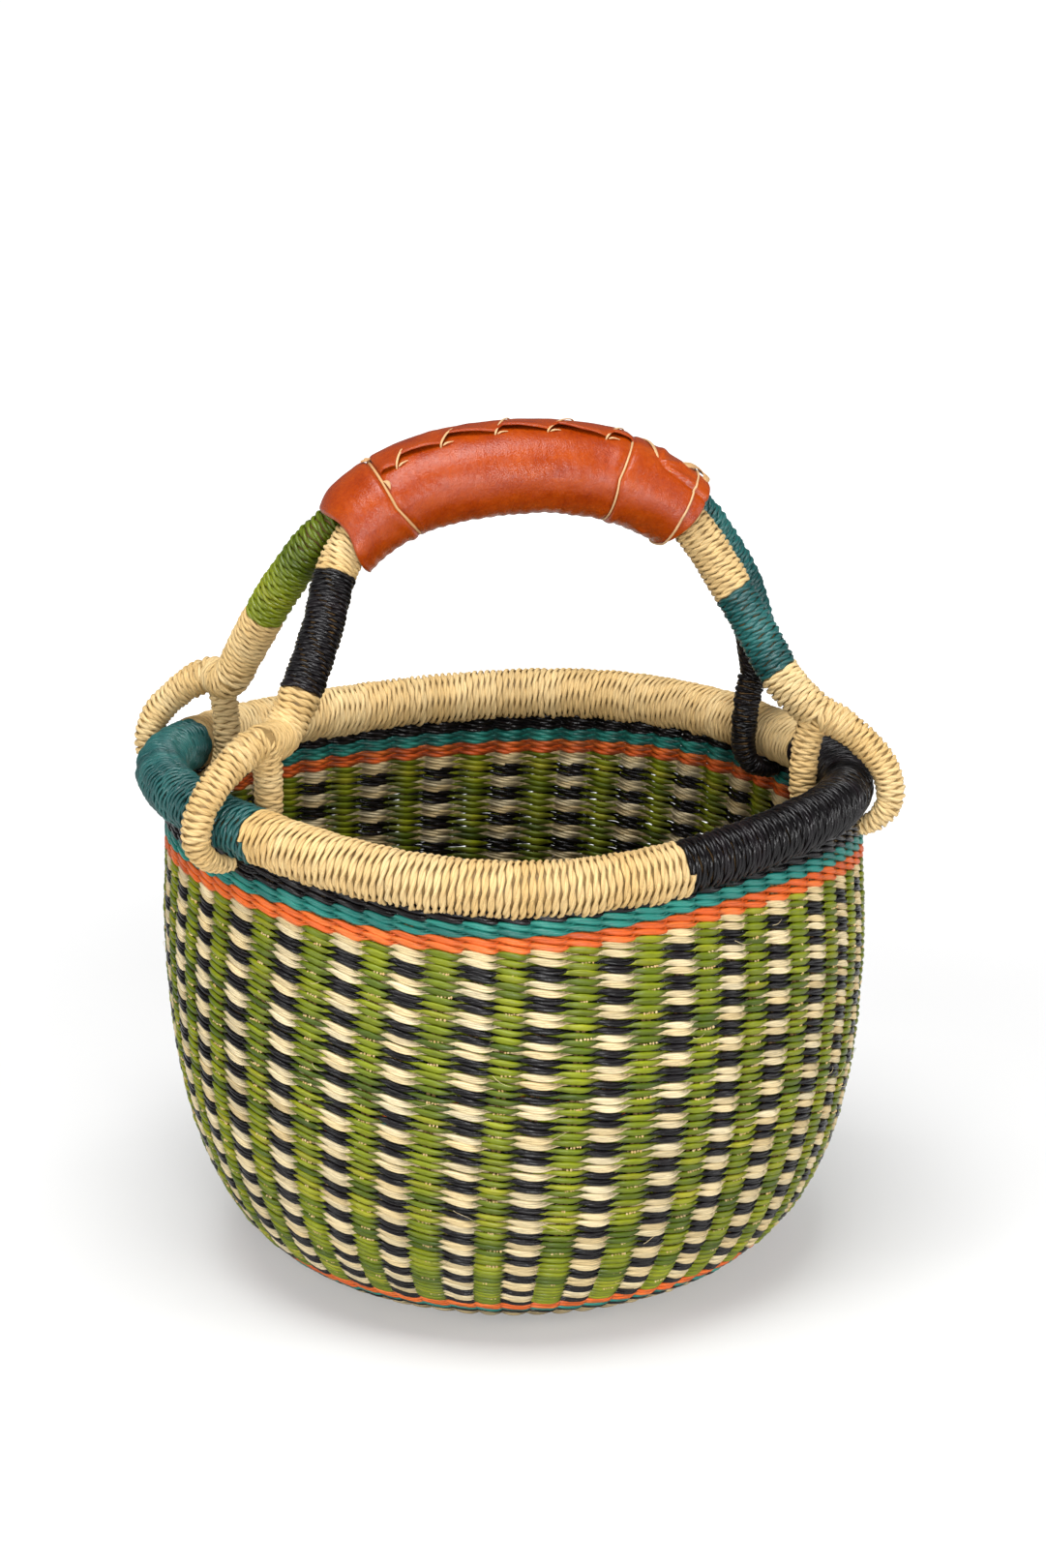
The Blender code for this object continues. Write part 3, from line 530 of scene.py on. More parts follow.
def coilMiddle(skein):
    # the base is started as a small coil, one on each face
    for side in (-1.0, 1.0):
        turn = np.linspace(0.0, fullTurn * 2.2, 90)
        radius = 0.0004 + 0.0052 * turn / turn[-1]
        spot = radius[:, None] * np.stack([np.cos(turn), side * np.sin(turn)], axis=-1)
        place = np.column_stack([spot, np.full(90, bowl["wall"] / 2.0 + side * 0.0010)])
        across, deep = squareTo(directions(place), upright)
        addStrand(skein, place, deep, across, 0.00125, 0.00085, 0.6, closed=False, sides=8)


def weaveBowl():
    skeins = {name: [] for name in ("green", "natural", "black", "orange", "teal", "base")}
    arcs = rowArcs()
    for number, arc in enumerate(arcs):
        greenMiddle = 0.46 + 0.16 * math.sin(number * 0.9) + 0.10 * math.sin(number * 0.23 + 1.0)
        check = ("natural", "black")[number // 2 % 2]
        twineRow(skeins, arc, [("green", 1, 1, 0.00142, 0.0, greenMiddle, 0.30),
                               (check, 0, *strandKinds[check])])
    bands = list(zip(("orange", "orange", "teal", "teal"), weave["bandRise"]))
    bands += [("black", weave["blackRise"] + weave["blackPitch"] * k) for k in range(5)]
    for colour, rise in bands:
        pairRow(skeins, arcAt(weave["rowsTop"]) + rise, colour, "topBand")
    low = arcs[-1] - weave["lowGap"]
    for colour, drop in weave["lowDrop"]:
        pairRow(skeins, low - drop, colour, "lowBand")
    arc = low - weave["baseDrop"]
    while arc > weave["middle"]:
        ribs = 66 if arc > 0.055 else 44 if arc > 0.034 else 22 if arc > 0.016 else 12
        pairRow(skeins, arc, "base", "base", ribs=ribs)
        arc -= weave["basePitch"]
    coilMiddle(skeins["base"])
    layStraw("greenTwining", skeins["green"], "greenStraw", "checked_straw", "checked_wall")
    layStraw("naturalChecks", skeins["natural"], "naturalStraw", "checked_straw", "checked_wall")
    layStraw("blackTwining", skeins["black"], "blackStraw", "black_straw",
             "checked_wall", "top_band_black", "base_band_teal_black")
    layStraw("orangeTwining", skeins["orange"], "orangeStraw", "orange_straw",
             "top_band_orange", "base_band_orange")
    layStraw("tealTwining", skeins["teal"], "tealStraw", "teal_straw",
             "top_band_teal", "base_band_teal_black")
    layStraw("baseTwining", skeins["base"], "naturalStraw", "natural_straw", "twined_base")


# stakes: each rib is a pair of grass stakes that run up inside the twining

stakes = {
    "apart": 0.0010, "half": 0.00085, "steps": 68, "over": 0.004,
    # where the rows part, the ends of the grass show as beads
    "beadFat": (0.00034, 0.00056), "beadStep": (0.00075, 0.00150), "beadProud": (0.00020, 0.00052),
    "beadTall": 0.00056, "beadShape": (0.25, 0.85, 1.0, 0.85, 0.25),
}
# fibres that have worked loose: name, finish, tone and how many
looseKinds = (("looseFibres", "naturalStraw", 0.7, 46), ("looseDarkFibres", "greenStraw", 0.3, 30))


def setStakes():
    skein = []
    arcs = np.linspace(0.0, arcAt(bowl["height"]) + stakes["over"], stakes["steps"])
    for rib in range(weave["ribs"]):
        starts = 0.006 if rib % 6 == 0 else 0.018 if rib % 3 == 0 else 0.036
        for aside in (-1.0, 1.0):
            shift = aside * stakes["apart"] / radiusAt(arcs).clip(0.004)
            angle = ribAngle(np.full(len(arcs), float(rib)), heightAt(arcs)) + shift
            place = wallPlace(angle, arcs, 0.0)[arcs > starts]
            up, outward = squareTo(directions(place), np.array(upright) + 1e-3)
            addStrand(skein, place, up, outward, stakes["half"], stakes["half"], chance.uniform(0.3, 1.0),
                      closed=False, sides=5)
    layStraw("stakes", skein, "grassCore", "checked_straw", "checked_wall")


def showStakes():
    skein = []
    arcs = rowArcs()
    for rib in range(1, weave["ribs"], 2):
        number = int(chance.randint(0, 4))
        while number < len(arcs) - 2:
            arc = (arcs[number] + arcs[number + 1]) / 2.0
            count = int(chance.randint(2, 6))
            reach = -0.0005 * count + chance.uniform(-0.0012, 0.0010)
            for bead in range(count):
                reach += chance.uniform(*stakes["beadStep"])
                tall = np.linspace(-stakes["beadTall"], stakes["beadTall"], 5)
                rows = tall * chance.uniform(0.6, 1.2) + chance.uniform(-0.0003, 0.0001)
                angle = ribAngle(np.full(5, float(rib)), float(heightAt(arc))) + reach / radiusAt(arc)
                off = rowKinds["wall"]["reach"] + chance.uniform(*stakes["beadProud"])
                place = wallPlace(angle, arc + rows, off)
                way = directions(place)
                side, outward = squareTo(way, np.cross(way, place * [1.0, 1.0, 0.0]))
                fat = chance.uniform(*stakes["beadFat"]) * np.array(stakes["beadShape"])
                addStrand(skein, place, side, outward, fat, fat, chance.uniform(0.3, 1.0), closed=False)
            number += int(chance.choice([2, 3, 3, 4, 5]))
    layStraw("stakeEnds", skein, "cordStraw", "checked_straw", "checked_wall")


def frayFibres():
    t = np.linspace(0.0, 1.0, 9)
    for name, finish, tone, count in looseKinds:
        skein = []
        for number in range(count):
            angle = chance.uniform(0.0, fullTurn)
            arc = chance.uniform(arcAt(0.020), arcAt(0.160))
            length = chance.uniform(0.003, 0.009)
            rise = chance.uniform(-0.7, 0.7) * length
            bend = chance.uniform(-0.25, 0.25) * length
            arch = 0.0012 * np.sin(math.pi * t ** 0.7) * chance.uniform(0.3, 1.0)
            spots = arc + rise * t + bend * np.sin(math.pi * t)
            off = rowKinds["wall"]["reach"] + 0.0007 + arch
            place = wallPlace(angle + (t - 0.5) * length / 0.12, spots, off)
            side, up = squareTo(directions(place), place * [1.0, 1.0, 0.0])
            thin = 0.00009 * (1.0 - 0.6 * t)
            addStrand(skein, place, side, up, thin, thin, tone, closed=False, sides=5)
        layStraw(name, skein, finish, "checked_straw", "checked_wall")


weaveBowl()
report("the bowl is woven")
setStakes()
showStakes()
frayFibres()
report("the stakes are set")


# cord: two plies wound round a route

cordCommon = {"plies": 2, "sides": 6, "steps": 30, "slack": 0.00018, "tone": 0.5, "vary": 0.35}
naturalCord = {"cord": 0.0026, "plyWide": 0.00084, "finish": "cordStraw", "slot": "natural_straw",
               "bedShade": 0.40}
barColour = {"cord": 0.0028, "twist": 0.0133, "lift": 0.00048, "spread": 0.00064, "plyWide": 0.00084,
             "plyDeep": 0.00074, "pitch": 0.0025}
blackCord = {"cord": 0.0025, "steps": 28, "vary": 0.4, "finish": "blackStraw", "slot": "black_straw"}
cordLooks = {
    "rimNatural": {**naturalCord, "twist": 0.0165, "lift": 0.00044, "spread": 0.00057, "plyDeep": 0.00076,
                   "tone": 0.62, "vary": 0.22, "bed": 0.00185, "bedShade": 0.30},
    "rimTeal": {"cord": 0.0029, "twist": 0.0140, "lift": 0.00062, "spread": 0.00074, "plyWide": 0.00076,
                "plyDeep": 0.00068, "slack": 0.00024, "finish": "rimTealStraw", "slot": "teal_straw"},
    "rimBlack": {**blackCord, "twist": 0.0210, "lift": 0.00042, "spread": 0.00062, "plyWide": 0.00070,
                 "plyDeep": 0.00060, "slack": 0.00034},
    "barNatural": {**naturalCord, "twist": 0.0123, "lift": 0.00040, "spread": 0.00060, "plyDeep": 0.00072,
                   "tone": 0.64, "vary": 0.24, "bed": 0.00155, "pitch": 0.0024},
    "barTeal": {**barColour, "finish": "rimTealStraw", "slot": "teal_straw"},
    "barGreen": {**barColour, "finish": "barGreenStraw", "slot": "green_straw"},
    "barBlack": {**blackCord, "twist": 0.0170, "lift": 0.00036, "spread": 0.00054, "plyWide": 0.00074,
                 "plyDeep": 0.00064, "slack": 0.00028, "pitch": 0.0021},
}
# name, from and to in degrees, cord, pitch and the solid it stands for
rimRuns = (
    ("rimWrapNaturalBack", 12.0, 150.0, "rimNatural", 0.00255, "rim_wrap_natural_back"),
    ("rimWrapTeal", 150.0, 216.0, "rimTeal", 0.00280, "rim_wrap_teal_left"),
    ("rimWrapNaturalFront", 216.0, 287.0, "rimNatural", 0.00260, "rim_wrap_natural_front"),
    ("rimWrapBlack", 287.0, 372.0, "rimBlack", 0.00222, "rim_wrap_black_right"),
)


def windCord(skein, route, side, up, radii, cord, pitch, lumps=None):
    # radii: outside of the wrap along the route, one for the side and one for the up direction
    look = {**cordCommon, **cordLooks[cord]}
    steps, lift, deep = look["steps"], look["lift"], look["plyDeep"]
    turns = max(1, int(round(routeLength(route) / pitch)))
    count = turns * steps
    spin = fullTurn * np.arange(count + 1) / steps
    share = np.arange(count + 1) / count
    slack = wander(count + 1, steps * 1.0, look["slack"], closed=False)
    sideWay = unit(along(side, share))
    upWay = unit(along(up, share))
    reaches = (along(radius[:, None], share)[:, 0] - look["cord"] / 2.0 + slack for radius in radii)
    reachSide, reachUp = (reach[:, None] for reach in reaches)
    acrossSide, acrossUp = np.cos(spin)[:, None], np.sin(spin)[:, None]
    outline = sideWay * (reachSide * acrossSide) + upWay * (reachUp * acrossUp)
    outward = unit(sideWay * acrossSide / reachSide + upWay * acrossUp / reachUp)
    if lumps is not None:
        outline = outline + outward * lumps(spin)[:, None]
    middle = along(route, share) + outline
    outward, axial = squareTo(directions(middle), outward)
    twist = fullTurn * goneAlong(middle) / look["twist"] + wander(count + 1, steps * 2.0, 0.9, closed=False)
    tone = look["tone"] + wander(count + 1, steps * 3.0, look["vary"], closed=False)
    tone = tone + chance.uniform(-0.07, 0.07, turns + 1)[np.minimum((share * turns).astype(int), turns)]
    for ply in range(look["plies"]):
        turnAbout = twist + fullTurn * ply / look["plies"]
        place = middle + outward * (lift * np.cos(turnAbout))[:, None] \
            + axial * (look["spread"] * np.sin(turnAbout))[:, None]
        colour = np.clip(tone + chance.uniform(-0.06, 0.06), 0.0, 1.0)
        whole = lift + deep
        # painted shade: each ply is darker where it turns into the cord and on its inner face
        lie = (0.62 + 0.75 * lift * np.cos(turnAbout) / whole, np.full(count + 1, 0.75 * deep / whole))
        addStrand(skein, place, axial, outward, look["plyWide"], deep, colour, closed=False,
                  sides=look["sides"], lie=lie)
    if "bed" in look:
        # an under layer of straw shows between the turns, in a darker tone and darkened further by an even
        # painted shade
        lie = (np.full(len(route), look["bedShade"]), np.zeros(len(route)))
        addStrand(skein, route, side, up, radii[0] - look["bed"], radii[1] - look["bed"], 0.2, closed=False,
                  sides=12, lie=lie)


def layCord(name, skein, cord, *nodes):
    layStraw(name, skein, cordLooks[cord]["finish"], cordLooks[cord]["slot"], *nodes)


def layCore(name, route, side, up, half, nodes, closed=False):
    skein = []
    addStrand(skein, route, side, up, half, half, 0.5, closed=closed, sides=12)
    layStraw(name, skein, "grassCore", "grass_core", *nodes)


def bindRim():
    for name, first, last, cord, pitch, cadNode in rimRuns:
        skein = []
        centre, outward, up = rimFrame(np.radians(np.linspace(first, last, 160)))
        half = np.full(len(centre), rim["thickness"] / 2.0)
        droop = chance.uniform(0.0, 1.0, 400)

        def lumps(spin, droop=droop):
            # some turns hang lower over the wall than others
            low = np.maximum(-np.sin(spin), 0.0) ** 3
            return low * rim["droop"] * droop[(spin / fullTurn).astype(int) % 400]

        windCord(skein, centre, outward, up, (half, half), cord, pitch, lumps)
        layCord(name, skein, cord, cadNode)
    centre, outward, up = rimFrame(np.linspace(0.0, fullTurn, 144, endpoint=False))
    layCore("rimCore", centre, outward, up, rim["core"] / 2.0, ["rim_core"], closed=True)


bindRim()
report("the rim is bound")


# handle: two arches, each ending in two eyes round the rim

handle = {
    "reach": 0.1000, "spread": 0.0400, "rise": 0.1182, "bar": 0.0083, "core": 0.0066,
    "forkRun": 17, "forkShares": (0.0, 0.16, 0.34, 0.52, 0.80, 1.0),
    "forkSide": (0.82, 0.86, 1.00, 1.12, 1.02, 1.00), "forkUp": (0.82, 0.84, 0.90, 0.94, 0.99, 1.00),
    "eyeTurns": {"front_left": 210.0, "front_right": 339.5, "back_left": 151.0, "back_right": 22.5},
    "eyeReach": 0.0163, "eyeDrop": 0.0145, "eyeRise": 0.0285, "leg": 0.0059, "eyeCore": 0.0018,
    # an eye's loop: shares of its reach, rise and thickness
    "loopShares": (
        (-0.66, 1.00, 1.10), (-0.18, 0.90, 1.10), (0.34, 0.68, 1.08), (0.80, 0.40, 1.05),
        (1.00, 0.10, 1.02), (0.98, -0.32, 0.94), (0.66, -0.76, 0.80), (0.18, -0.98, 0.62),
        (-0.32, -0.97, 0.62), (-0.74, -0.70, 0.78), (-0.97, -0.22, 0.92), (-1.00, 0.16, 0.96),
        (-0.97, 0.46, 0.98), (-0.88, 0.76, 1.02)),
    # an arch: shares of the handle's reach, spread and rise
    "front": (
        (-0.957, -1.03, 0.268), (-0.863, -0.86, 0.392), (-0.766, -0.60, 0.565), (-0.679, -0.30, 0.745),
        (-0.520, -0.215, 0.895), (-0.270, -0.208, 0.975), (0.030, -0.208, 1.000), (0.330, -0.208, 0.970),
        (0.560, -0.220, 0.885), (0.680, -0.31, 0.778), (0.798, -0.47, 0.608), (0.871, -0.59, 0.492),
        (0.971, -0.77, 0.329)),
    "back": (
        (-1.018, 1.10, 0.275), (-0.967, 0.95, 0.375), (-0.904, 0.74, 0.503), (-0.841, 0.56, 0.615),
        (-0.710, 0.28, 0.790), (-0.520, 0.215, 0.900), (-0.270, 0.208, 0.975), (0.030, 0.208, 1.000),
        (0.330, 0.208, 0.970), (0.560, 0.220, 0.890), (0.720, 0.31, 0.820), (0.850, 0.46, 0.680),
        (0.950, 0.60, 0.540), (1.030, 0.83, 0.360)),
    # where each fork's winding ends along x, its cord, and the pitch on the fork and on the eye
    "forks": {
        "front_left": (-0.0865, "barNatural", 0.0024, 0.0024),
        "front_right": (0.0946, "barNatural", 0.0025, 0.0024),
        "back_left": (-0.0902, "barNatural", 0.0024, 0.0024),
        "back_right": (0.1030, "barBlack", 0.0021, 0.0022)},
    # the runs above the forks: arch, from and to along x, cord
    "runs": {
        "front_left_black_winding": ("front", -0.0865, -0.0700, "barBlack"),
        "front_left_natural_winding": ("front", -0.0700, -0.0560, "barNatural"),
        "front_right_natural_winding": ("front", 0.0600, 0.0796, "barNatural"),
        "front_right_teal_winding": ("front", 0.0796, 0.0946, "barTeal"),
        "back_left_green_winding": ("back", -0.0902, -0.0600, "barGreen"),
        "back_right_teal_winding": ("back", 0.0600, 0.1030, "barTeal")},
}


def eyeLoop(name):
    centre, outward, up = rimFrame(math.radians(handle["eyeTurns"][name]))
    places = []
    for reach, rise, thick in handle["loopShares"]:
        tall = handle["eyeRise"] if rise > 0.0 else handle["eyeDrop"]
        spot = centre + outward * (reach * handle["eyeReach"]) + up * (rise * tall)
        places.append(np.append(spot, thick * handle["leg"]))
    return np.array(places), outward


def archRoute(side):
    points = [eyeLoop(side + "_left")[0][0][:3]]
    points += [np.array([a * handle["reach"], b * handle["spread"], rim["height"] + c * handle["rise"]])
               for a, b, c in handle[side]]
    points.append(eyeLoop(side + "_right")[0][0][:3])
    return smoothRoute(points, 480)


arches = {side: archRoute(side) for side in ("front", "back")}


def shareAt(side, x):
    route = arches[side]
    return float(np.interp(x, route[:, 0], np.linspace(0.0, 1.0, len(route))))


def partOf(side, first, last, count=90):
    return along(arches[side], np.linspace(first, last, count))


def windBar(name, part, cord, pitch, node, eye=None):
    skein = []
    narrow = wide = np.full(len(part), handle["bar"])
    if eye:
        # a fork's cord runs on from the bar over the outer leg of its eye
        leg = smoothRoute(eyeLoop(eye)[0][:, :3], 160, closed=True)[:handle["forkRun"]]
        part = smoothRoute(np.vstack([leg[::-4], part[6::8], part[-1:]]), 120)
        share = np.linspace(0.0, 1.0, len(part))
        narrow = np.interp(share, handle["forkShares"], handle["forkSide"]) * handle["bar"]
        wide = np.interp(share, handle["forkShares"], handle["forkUp"]) * handle["bar"]
    way = directions(part)
    side, up = squareTo(way, backward)
    if eye:
        # carried along the route, so that the turns don't swing round in the bend
        for index in range(len(part) - 2, -1, -1):
            side[index], up[index] = squareTo(way[index], side[index + 1])
    windCord(skein, part, side, up, (narrow, wide), cord, pitch)
    layCord(name, skein, cord, node)


def bindEye(name, cord, pitch):
    skein = []
    loop, outward = eyeLoop(name)
    route = smoothRoute(loop, 160, closed=True)
    places, thick = route[:, :3], route[:, 3]
    side, up = squareTo(directions(places), np.cross(outward, upright))
    windCord(skein, places, side, up, (thick, thick), cord, pitch)
    layCord(name + "EyeWrap", skein, cord, name + "_eye")
    layCore(name + "EyeCore", places[:-1], side[:-1], up[:-1], thick[:-1] - handle["eyeCore"],
            [name + "_eye"], closed=True)


def bindHandle():
    for side in ("front", "back"):
        forks = {side + "_left": 0.0, side + "_right": 1.0}
        for name, start in forks.items():
            ends, cord, pitch, _ = handle["forks"][name]
            windBar(name + "Fork", partOf(side, start, shareAt(side, ends)), cord, pitch, name + "_eye", name)
        for name in forks:
            bindEye(name, handle["forks"][name][1], handle["forks"][name][3])
        part = partOf(side, 0.02, 0.98, 240)
        across, up = squareTo(directions(part), backward)
        layCore(side + "ArchCore", part, across, up, handle["core"],
                [side + "_arch_core", side + "_grip_bundle"])
    for node, (side, first, last, cord) in handle["runs"].items():
        words = node.split("_")
        name = words[0] + "".join(word.capitalize() for word in words[1:])
        part = partOf(side, shareAt(side, first), shareAt(side, last))
        windBar(name, part, cord, cordLooks[cord]["pitch"], node)


bindHandle()
report("the handle is wound")


# leather grip

grip = {
    "ends": (-0.0650, 0.0638), "spare": 0.0060, "wide": 0.0372, "tall": 0.0334,
    "endWide": 1.15, "endTall": 0.88, "middle": 0.375, "rows": 330, "around": 170, "thick": 0.0015,
    "edgeRound": 0.0011, "crestPull": 0.016, "lowerHang": -0.036,
    # threads: turn about in degrees, share along
    "leftThread": ((-60.0, 0.198), (4.0, 0.159), (94.0, 0.161), (180.0, 0.172), (300.0, 0.198)),
    "rightThread": ((-60.0, 0.779), (7.0, 0.764), (95.0, 0.800), (180.0, 0.800), (300.0, 0.779)),
    "endThread": ((-60.0, 0.990), (-6.0, 0.966), (45.0, 0.958), (180.0, 0.975), (300.0, 0.990)),
    # the overlap's free edge: share along, turn about
    "edge": (
        (0.150, 55.5), (0.185, 53.5), (0.206, 53.0), (0.228, 64.5), (0.276, 62.5), (0.321, 60.8),
        (0.346, 75.5), (0.405, 69.0), (0.455, 65.0), (0.478, 75.0), (0.535, 69.0), (0.583, 65.8),
        (0.612, 76.0), (0.665, 66.5), (0.724, 62.5), (0.746, 72.0), (0.784, 70.0), (0.800, 70.0)),
    # from and to along, and how far up the stitch runs
    "stitches": ((0.207, 0.236, 72.0), (0.322, 0.362, 84.0), (0.456, 0.506, 106.0), (0.585, 0.660, 104.0),
                 (0.727, 0.778, 100.0)),
    "flapBack": 160.0, "flapThick": 0.0011, "flapEnds": (0.167, 0.797),
}


def gripMiddle(count):
    ends = (grip["ends"][0] - grip["spare"], grip["ends"][1] + grip["spare"])
    front, back = (partOf(side, shareAt(side, ends[0]), shareAt(side, ends[1]), count)
                   for side in ("front", "back"))
    return (front + back) / 2.0


gripLine = gripMiddle(240)
gripWay = directions(gripLine)
gripShares = np.linspace(0.0, 1.0, len(gripLine))
gripFirst, gripLast = (float(np.interp(x, gripLine[:, 0], gripShares)) for x in grip["ends"])
gripLength = routeLength(gripLine) * (gripLast - gripFirst)
gripAround = math.pi * (grip["wide"] + grip["tall"]) / 2.0


def onGrip(share, turn, lift):
    # turn 0 is the front, a quarter turn the crest
    share, turn, lift = np.broadcast_arrays(share, turn, lift)
    spot = gripFirst + share * (gripLast - gripFirst)
    centre = along(gripLine, spot)
    side, up = squareTo(unit(along(gripWay, spot)), backward)
    end = smoothStep((np.abs(2.0 * share - 1.0) - grip["middle"]) / (1.0 - grip["middle"]))
    wide = grip["wide"] / 2.0 * (1.0 + (grip["endWide"] - 1.0) * end) + lift
    tall = grip["tall"] / 2.0 * (1.0 + (grip["endTall"] - 1.0) * end) + lift
    return centre - side * (wide * np.cos(turn))[..., None] + up * (tall * np.sin(turn))[..., None]


def hillocks(x, y, cell, tall, wrap=None):
    # soft random hills over a plane; wrap closes them round the grip
    rows = 64
    columns = rows if wrap is None else max(4, int(round(wrap / cell)))
    lattice = chance.uniform(-1.0, 1.0, (rows, columns))
    gx, gy = x / cell, y / (cell if wrap is None else wrap / columns)
    ix, iy = np.floor(gx).astype(int), np.floor(gy).astype(int)
    fx, fy = smoothStep(gx - ix), smoothStep(gy - iy)

    def level(column):
        near, far = lattice[ix % rows, column % columns], lattice[(ix + 1) % rows, column % columns]
        return near * (1 - fx) + far * fx

    return tall * (level(iy) * (1 - fy) + level(iy + 1) * fy)


def degreesRound(turn):
    return (np.degrees(turn) + 60.0) % 360.0 - 60.0


def threadShare(name, turn):
    marks = np.array(grip[name])
    return np.interp(degreesRound(turn), marks[:, 0], marks[:, 1])


def crestAt(turn):
    return smoothStep((np.sin(turn) + 0.3) / 1.1)


def pleatLift(share, degrees):
    # the right end is gathered into pleats above a crease
    fold = np.interp(share, [0.851, 0.884, 0.956, 1.0], [52.0, 45.0, 38.5, 36.0])
    inFold = smoothStep((share - 0.848) / 0.02) * smoothStep((150.0 - degrees) / 40.0)
    over = (degrees - fold) * math.pi / 180.0 * grip["wide"] / 2.0
    crease = 0.0011 * smoothStep(over / 0.0009) * smoothStep((0.016 - over) / 0.010)
    crease = crease - 0.0007 * hill(over + 0.0005, 0.0007)
    fanX = (share - 0.851) * gripLength
    fanY = over + 0.0004
    fan = np.arctan2(fanY, np.maximum(fanX, 1e-5))
    reach = np.hypot(fanX, fanY)
    inFan = smoothStep(fanX / 0.0015) * smoothStep(fan / 0.15) * smoothStep((0.0170 - reach) / 0.006)
    pleats = np.sin(fan * 11.0 + 0.6 * np.sin(fan * 4.0))
    return inFold * crease, 0.00055 * inFan * pleats * smoothStep(reach / 0.003)


def leatherLift(share, turn):
    # how far the skin stands off the plain shape of the grip
    x = share * gripLength
    y = turn / fullTurn * gripAround
    degrees = degreesRound(turn)
    lift = hillocks(x, y, 0.014, 0.00045, gripAround) + hillocks(x, y, 0.005, 0.00016, gripAround)
    below = np.maximum(-np.sin(turn), 0.0)
    lift = lift + 0.00016 * below ** 2 * np.sin(
        x / 0.0052 * fullTurn + 2.0 * hillocks(x, y, 0.012, 1.0, gripAround))
    lift = lift + 0.00005 * hill(degrees - 18.0, 26.0) * np.sin(
        x / 0.0036 * fullTurn + 7.0 * hillocks(x, y, 0.009, 1.0, gripAround))
    # the threads draw it in, and it bulges beside them
    left = (share - threadShare("leftThread", turn)) * gripLength
    right = (share - threadShare("rightThread", turn)) * gripLength
    for off in (left, right):
        lift = lift - 0.00060 * hill(off, 0.0008) + 0.00030 * hill(np.abs(off) - 0.0030, 0.0018)
    lift = lift + 0.00075 * smoothStep(-left / 0.0016) + 0.00055 * smoothStep(right / 0.0016)
    for pleats in pleatLift(share, degrees):
        lift = lift + pleats
    # the left end is drawn in over the crest
    lift = lift - 0.0034 * crestAt(turn) * smoothStep((0.075 - share) / 0.085) ** 1.5
    # small tabs of skin stand off below
    for spot, low in ((0.100, -72.0), (0.900, -66.0)):
        off = np.hypot((share - spot) * gripLength / 0.0032, (degrees - low) / 9.0)
        lift = lift + 0.0024 * np.exp(-off ** 2 * 1.6)
    return lift


def edgeTurn(share):
    marks = np.array(grip["edge"])
    return np.radians(np.interp(share, marks[:, 0], marks[:, 1]))


def flapPuff(share):
    # the overlap bulges between stitches and is drawn down at each of them
    marks = [0.160] + [first for first, _, _ in grip["stitches"]] + [0.800]
    puff = np.zeros_like(share)
    for first, last in zip(marks[:-1], marks[1:]):
        q = np.clip((share - first) / (last - first), 0.0, 1.0)
        puff = np.where((share >= first) & (share <= last), np.sin(math.pi * q ** 0.8) ** 0.7, puff)
    return puff


leatherLook = {
    "tones": [(0.165, 0.0125, 0.0004), (0.300, 0.0325, 0.0006), (0.375, 0.0510, 0.0012),
              (0.46, 0.082, 0.003)],
    "places": [0.22, 0.42, 0.58, 0.78], "roughness": 0.24, "specular": 0.42, "bump": 0.7, "bumpDeep": 0.00024,
}


def leatherFinish():
    material, tree, shader = newFinish("goatLeather")
    skin = node(tree, "UVMap", "UV", uv_map="strand")

    def cloud(scale, detail, stretch=(1.0, 1.0, 1.0), rough=0.55):
        spread = node(tree, "Mapping", "Vector", {"Vector": skin, "Scale": stretch})
        return node(tree, "TexNoise", "Fac",
                    {"Vector": spread, "Scale": scale, "Detail": detail, "Roughness": rough})

    blend = {"Factor": 0.35, "A": cloud(0.085, 4.0), "B": cloud(0.9, 3.0, (1.0, 0.5, 1.0))}
    mottle = node(tree, "Mix", "Result", blend, data_type="FLOAT")
    pores = node(tree, "TexVoronoi", "Distance", {"Vector": skin, "Scale": 1.9})
    crinkles = cloud(1.1, 4.0, (1.6, 0.7, 1.0), 0.65)
    relief = node(tree, "Math", 0, {0: pores, 1: 0.45, 2: crinkles}, operation="MULTIPLY_ADD")
    rough = leatherLook["roughness"]
    plug(tree, shader, {
        "Base Color": toneRamp(tree, mottle, leatherLook["tones"], leatherLook["places"]),
        "Normal": node(tree, "Bump", "Normal", {
            "Strength": leatherLook["bump"], "Distance": leatherLook["bumpDeep"], "Height": relief}),
        "Roughness": remap(tree, cloud(0.22, 2.0), rough - 0.10, rough + 0.16),
        "Specular IOR Level": leatherLook["specular"]})
    return material


leather = leatherFinish()


def laySkin(name, places, longWay, roundWay):
    # a closed sheet of leather from rows and columns of places
    rows, columns = places.shape[:2]
    row = np.arange(rows - 1)[:, None]
    col = np.arange(columns)[None, :]
    here, after = row * columns, (col + 1) % columns
    faces = np.stack([here + col, here + after, here + columns + after, here + columns + col], axis=-1)
    u = np.broadcast_to(row / rows, (rows - 1, columns)) * longWay
    v = np.broadcast_to(col / columns, (rows - 1, columns)) * roundWay
    du, dv = longWay / rows, roundWay / columns
    uv = cornerSpots((u, v), (u, v + dv), (u + du, v + dv), (u + du, v))
    tone = np.full(rows * columns, 0.5)
    piece = buildMesh(name, leather, places.reshape(-1, 3), faces.reshape(-1, 4), uv, tone)
    finishPiece(piece, "leather", "leather_grip")


